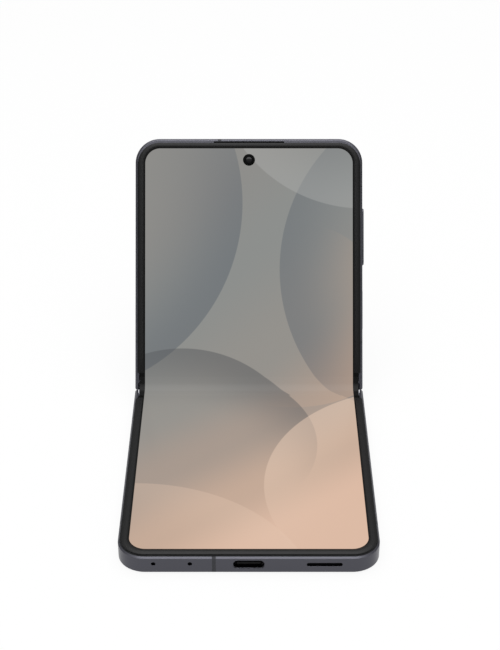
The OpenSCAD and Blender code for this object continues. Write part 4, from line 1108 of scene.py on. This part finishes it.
class PHONE_OT_stage(bpy.types.Operator):
    """Sets the pale floor, the soft lamp, the world and the camera"""

    bl_idname = "phone.stage"
    bl_label = "Stage"

    def execute(self, context):
        scene, stage = context.scene, context.scene.phone_stage
        self.floor()
        self.world(scene, stage.ambient)
        lamp = bpy.data.lights.new("softbox above", "AREA")
        lamp.shape, lamp.size, lamp.size_y, lamp.energy = "RECTANGLE", stage.lamp_w, stage.lamp_l, stage.lamp_power
        camera = bpy.data.cameras.new("camera")
        camera.lens, camera.sensor_width = stage.lens, 36
        camera.clip_start, camera.clip_end = 0.01, 50
        # the softbox looks at the floor, a millimetre further back than straight below it
        lamp_tilt = math.atan2(MM, stage.lamp[2])
        camera_tilt = math.pi / 2 - stage.tilt
        for data, place, tilt in ((lamp, stage.lamp, lamp_tilt), (camera, stage.eye, camera_tilt)):
            holder = bpy.data.objects.new(data.name, data)
            holder.location = place
            holder.rotation_euler = (tilt, 0, 0)
            scene.collection.objects.link(holder)
        scene.camera = scene.objects["camera"]
        scene.view_settings.view_transform = "Standard"
        return {"FINISHED"}

    def seen(self, tree):
        """1 where a camera, gloss or glass looks straight at the surface, 0 for the light it gives."""
        path = add(tree, "LightPath").node.outputs
        either = add(tree, "Math", {0: path["Is Camera Ray"], 1: path["Is Glossy Ray"]}, operation="MAXIMUM")
        return add(tree, "Math", {0: either, 1: path["Is Transmission Ray"]}, operation="MAXIMUM")

    def floor(self):
        """A wide flat square, just under what the phone stands on."""
        side, drop = 6.0, 0.02 * MM
        mesh = bpy.data.meshes.new("floor")
        corners = np.array(((-1, -1), (1, -1), (1, 1), (-1, 1))) * side
        mesh.from_pydata(np.column_stack((corners, np.full(4, -drop))).tolist(), [], [(0, 1, 2, 3)])
        material = bpy.data.materials.new("pale floor")
        material.use_nodes = True
        tree = material.node_tree
        tree.nodes.clear()
        paper = add(tree, "BsdfDiffuse", {"Color": (0.95, 0.95, 0.95, 1)})
        # in gloss the paper is a little duller, which gives the frame's sides their depth
        gloss = add(tree, "LightPath", out="Is Glossy Ray")
        bright = add(tree, "Math", {0: gloss, 1: -0.14, 2: 1.0}, operation="MULTIPLY_ADD")
        white = add(tree, "Emission", {"Color": (1, 1, 1, 1), "Strength": bright})
        # the shadow shows through the part of the paper that is left
        share = add(tree, "Math", {0: self.seen(tree), 1: 0.9}, operation="MULTIPLY")
        add(tree, "OutputMaterial", {0: add(tree, "MixShader", {0: share, 1: paper, 2: white})})
        mesh.materials.append(material)
        floor = bpy.data.objects.new("floor", mesh)
        bpy.context.scene.collection.objects.link(floor)

    def world(self, scene, ambient):
        """Even light from all round, and plain white where it is seen."""
        world = bpy.data.worlds.new("studio")
        world.use_nodes = True
        tree = world.node_tree
        tree.nodes.clear()
        # in gloss the white set falls off towards the horizon, which draws the metal's edges
        height = add(tree, "SeparateXYZ", {0: add(tree, "TexCoord", out="Generated")}, "Z")
        limits = {"Value": height, "From Min": 0.85, "From Max": 0.5, "To Min": 0.0, "To Max": 0.65}
        gloss = add(tree, "LightPath", out="Is Glossy Ray")
        fall = add(tree, "Math", {0: add(tree, "MapRange", limits), 1: gloss}, operation="MULTIPLY")
        bright = add(tree, "Math", {0: 1.0, 1: fall}, operation="SUBTRACT")
        light = add(tree, "Background", {0: (1, 1, 1, 1), 1: ambient})
        white = add(tree, "Background", {0: (1, 1, 1, 1), 1: bright})
        add(tree, "OutputWorld", {0: add(tree, "MixShader", {0: self.seen(tree), 1: light, 2: white})})
        scene.world = world


OPERATORS = (
    PHONE_OT_display,
    PHONE_OT_cables,
    PHONE_OT_frames,
    PHONE_OT_bezels,
    PHONE_OT_keys,
    PHONE_OT_glass,
    PHONE_OT_cameras,
    PHONE_OT_ports,
    PHONE_OT_hinge,
    PHONE_OT_inside,
    PHONE_OT_stage,
)
GROUPS = {"phone_sizes": PhoneSizes, "phone_colours": PhoneColours, "phone_stage": PhoneStage}


class PHONE_PT_sidebar(bpy.types.Panel):
    """Lists the settings and the pieces"""

    bl_idname = "PHONE_PT_sidebar"
    bl_label = "Foldable Smartphone"
    bl_space_type = "VIEW_3D"
    bl_region_type = "UI"
    bl_category = "Phone"

    def draw(self, context):
        for name, group in GROUPS.items():
            column = self.layout.column(align=True)
            for key in group.__annotations__:
                column.prop(getattr(context.scene, name), key)
        column = self.layout.column(align=True)
        for operator in OPERATORS:
            column.operator(operator.bl_idname)


CLASSES = (*GROUPS.values(), *OPERATORS, PHONE_PT_sidebar)


def register():
    for cls in CLASSES:
        bpy.utils.register_class(cls)
    for name, group in GROUPS.items():
        setattr(bpy.types.Scene, name, bpy.props.PointerProperty(type=group))


def unregister():
    for name in GROUPS:
        delattr(bpy.types.Scene, name)
    for cls in reversed(CLASSES):
        bpy.utils.unregister_class(cls)


def main():
    register()
    for operator in OPERATORS:
        getattr(bpy.ops.phone, operator.bl_idname.partition(".")[2])()


if __name__ == "__main__":
    main()
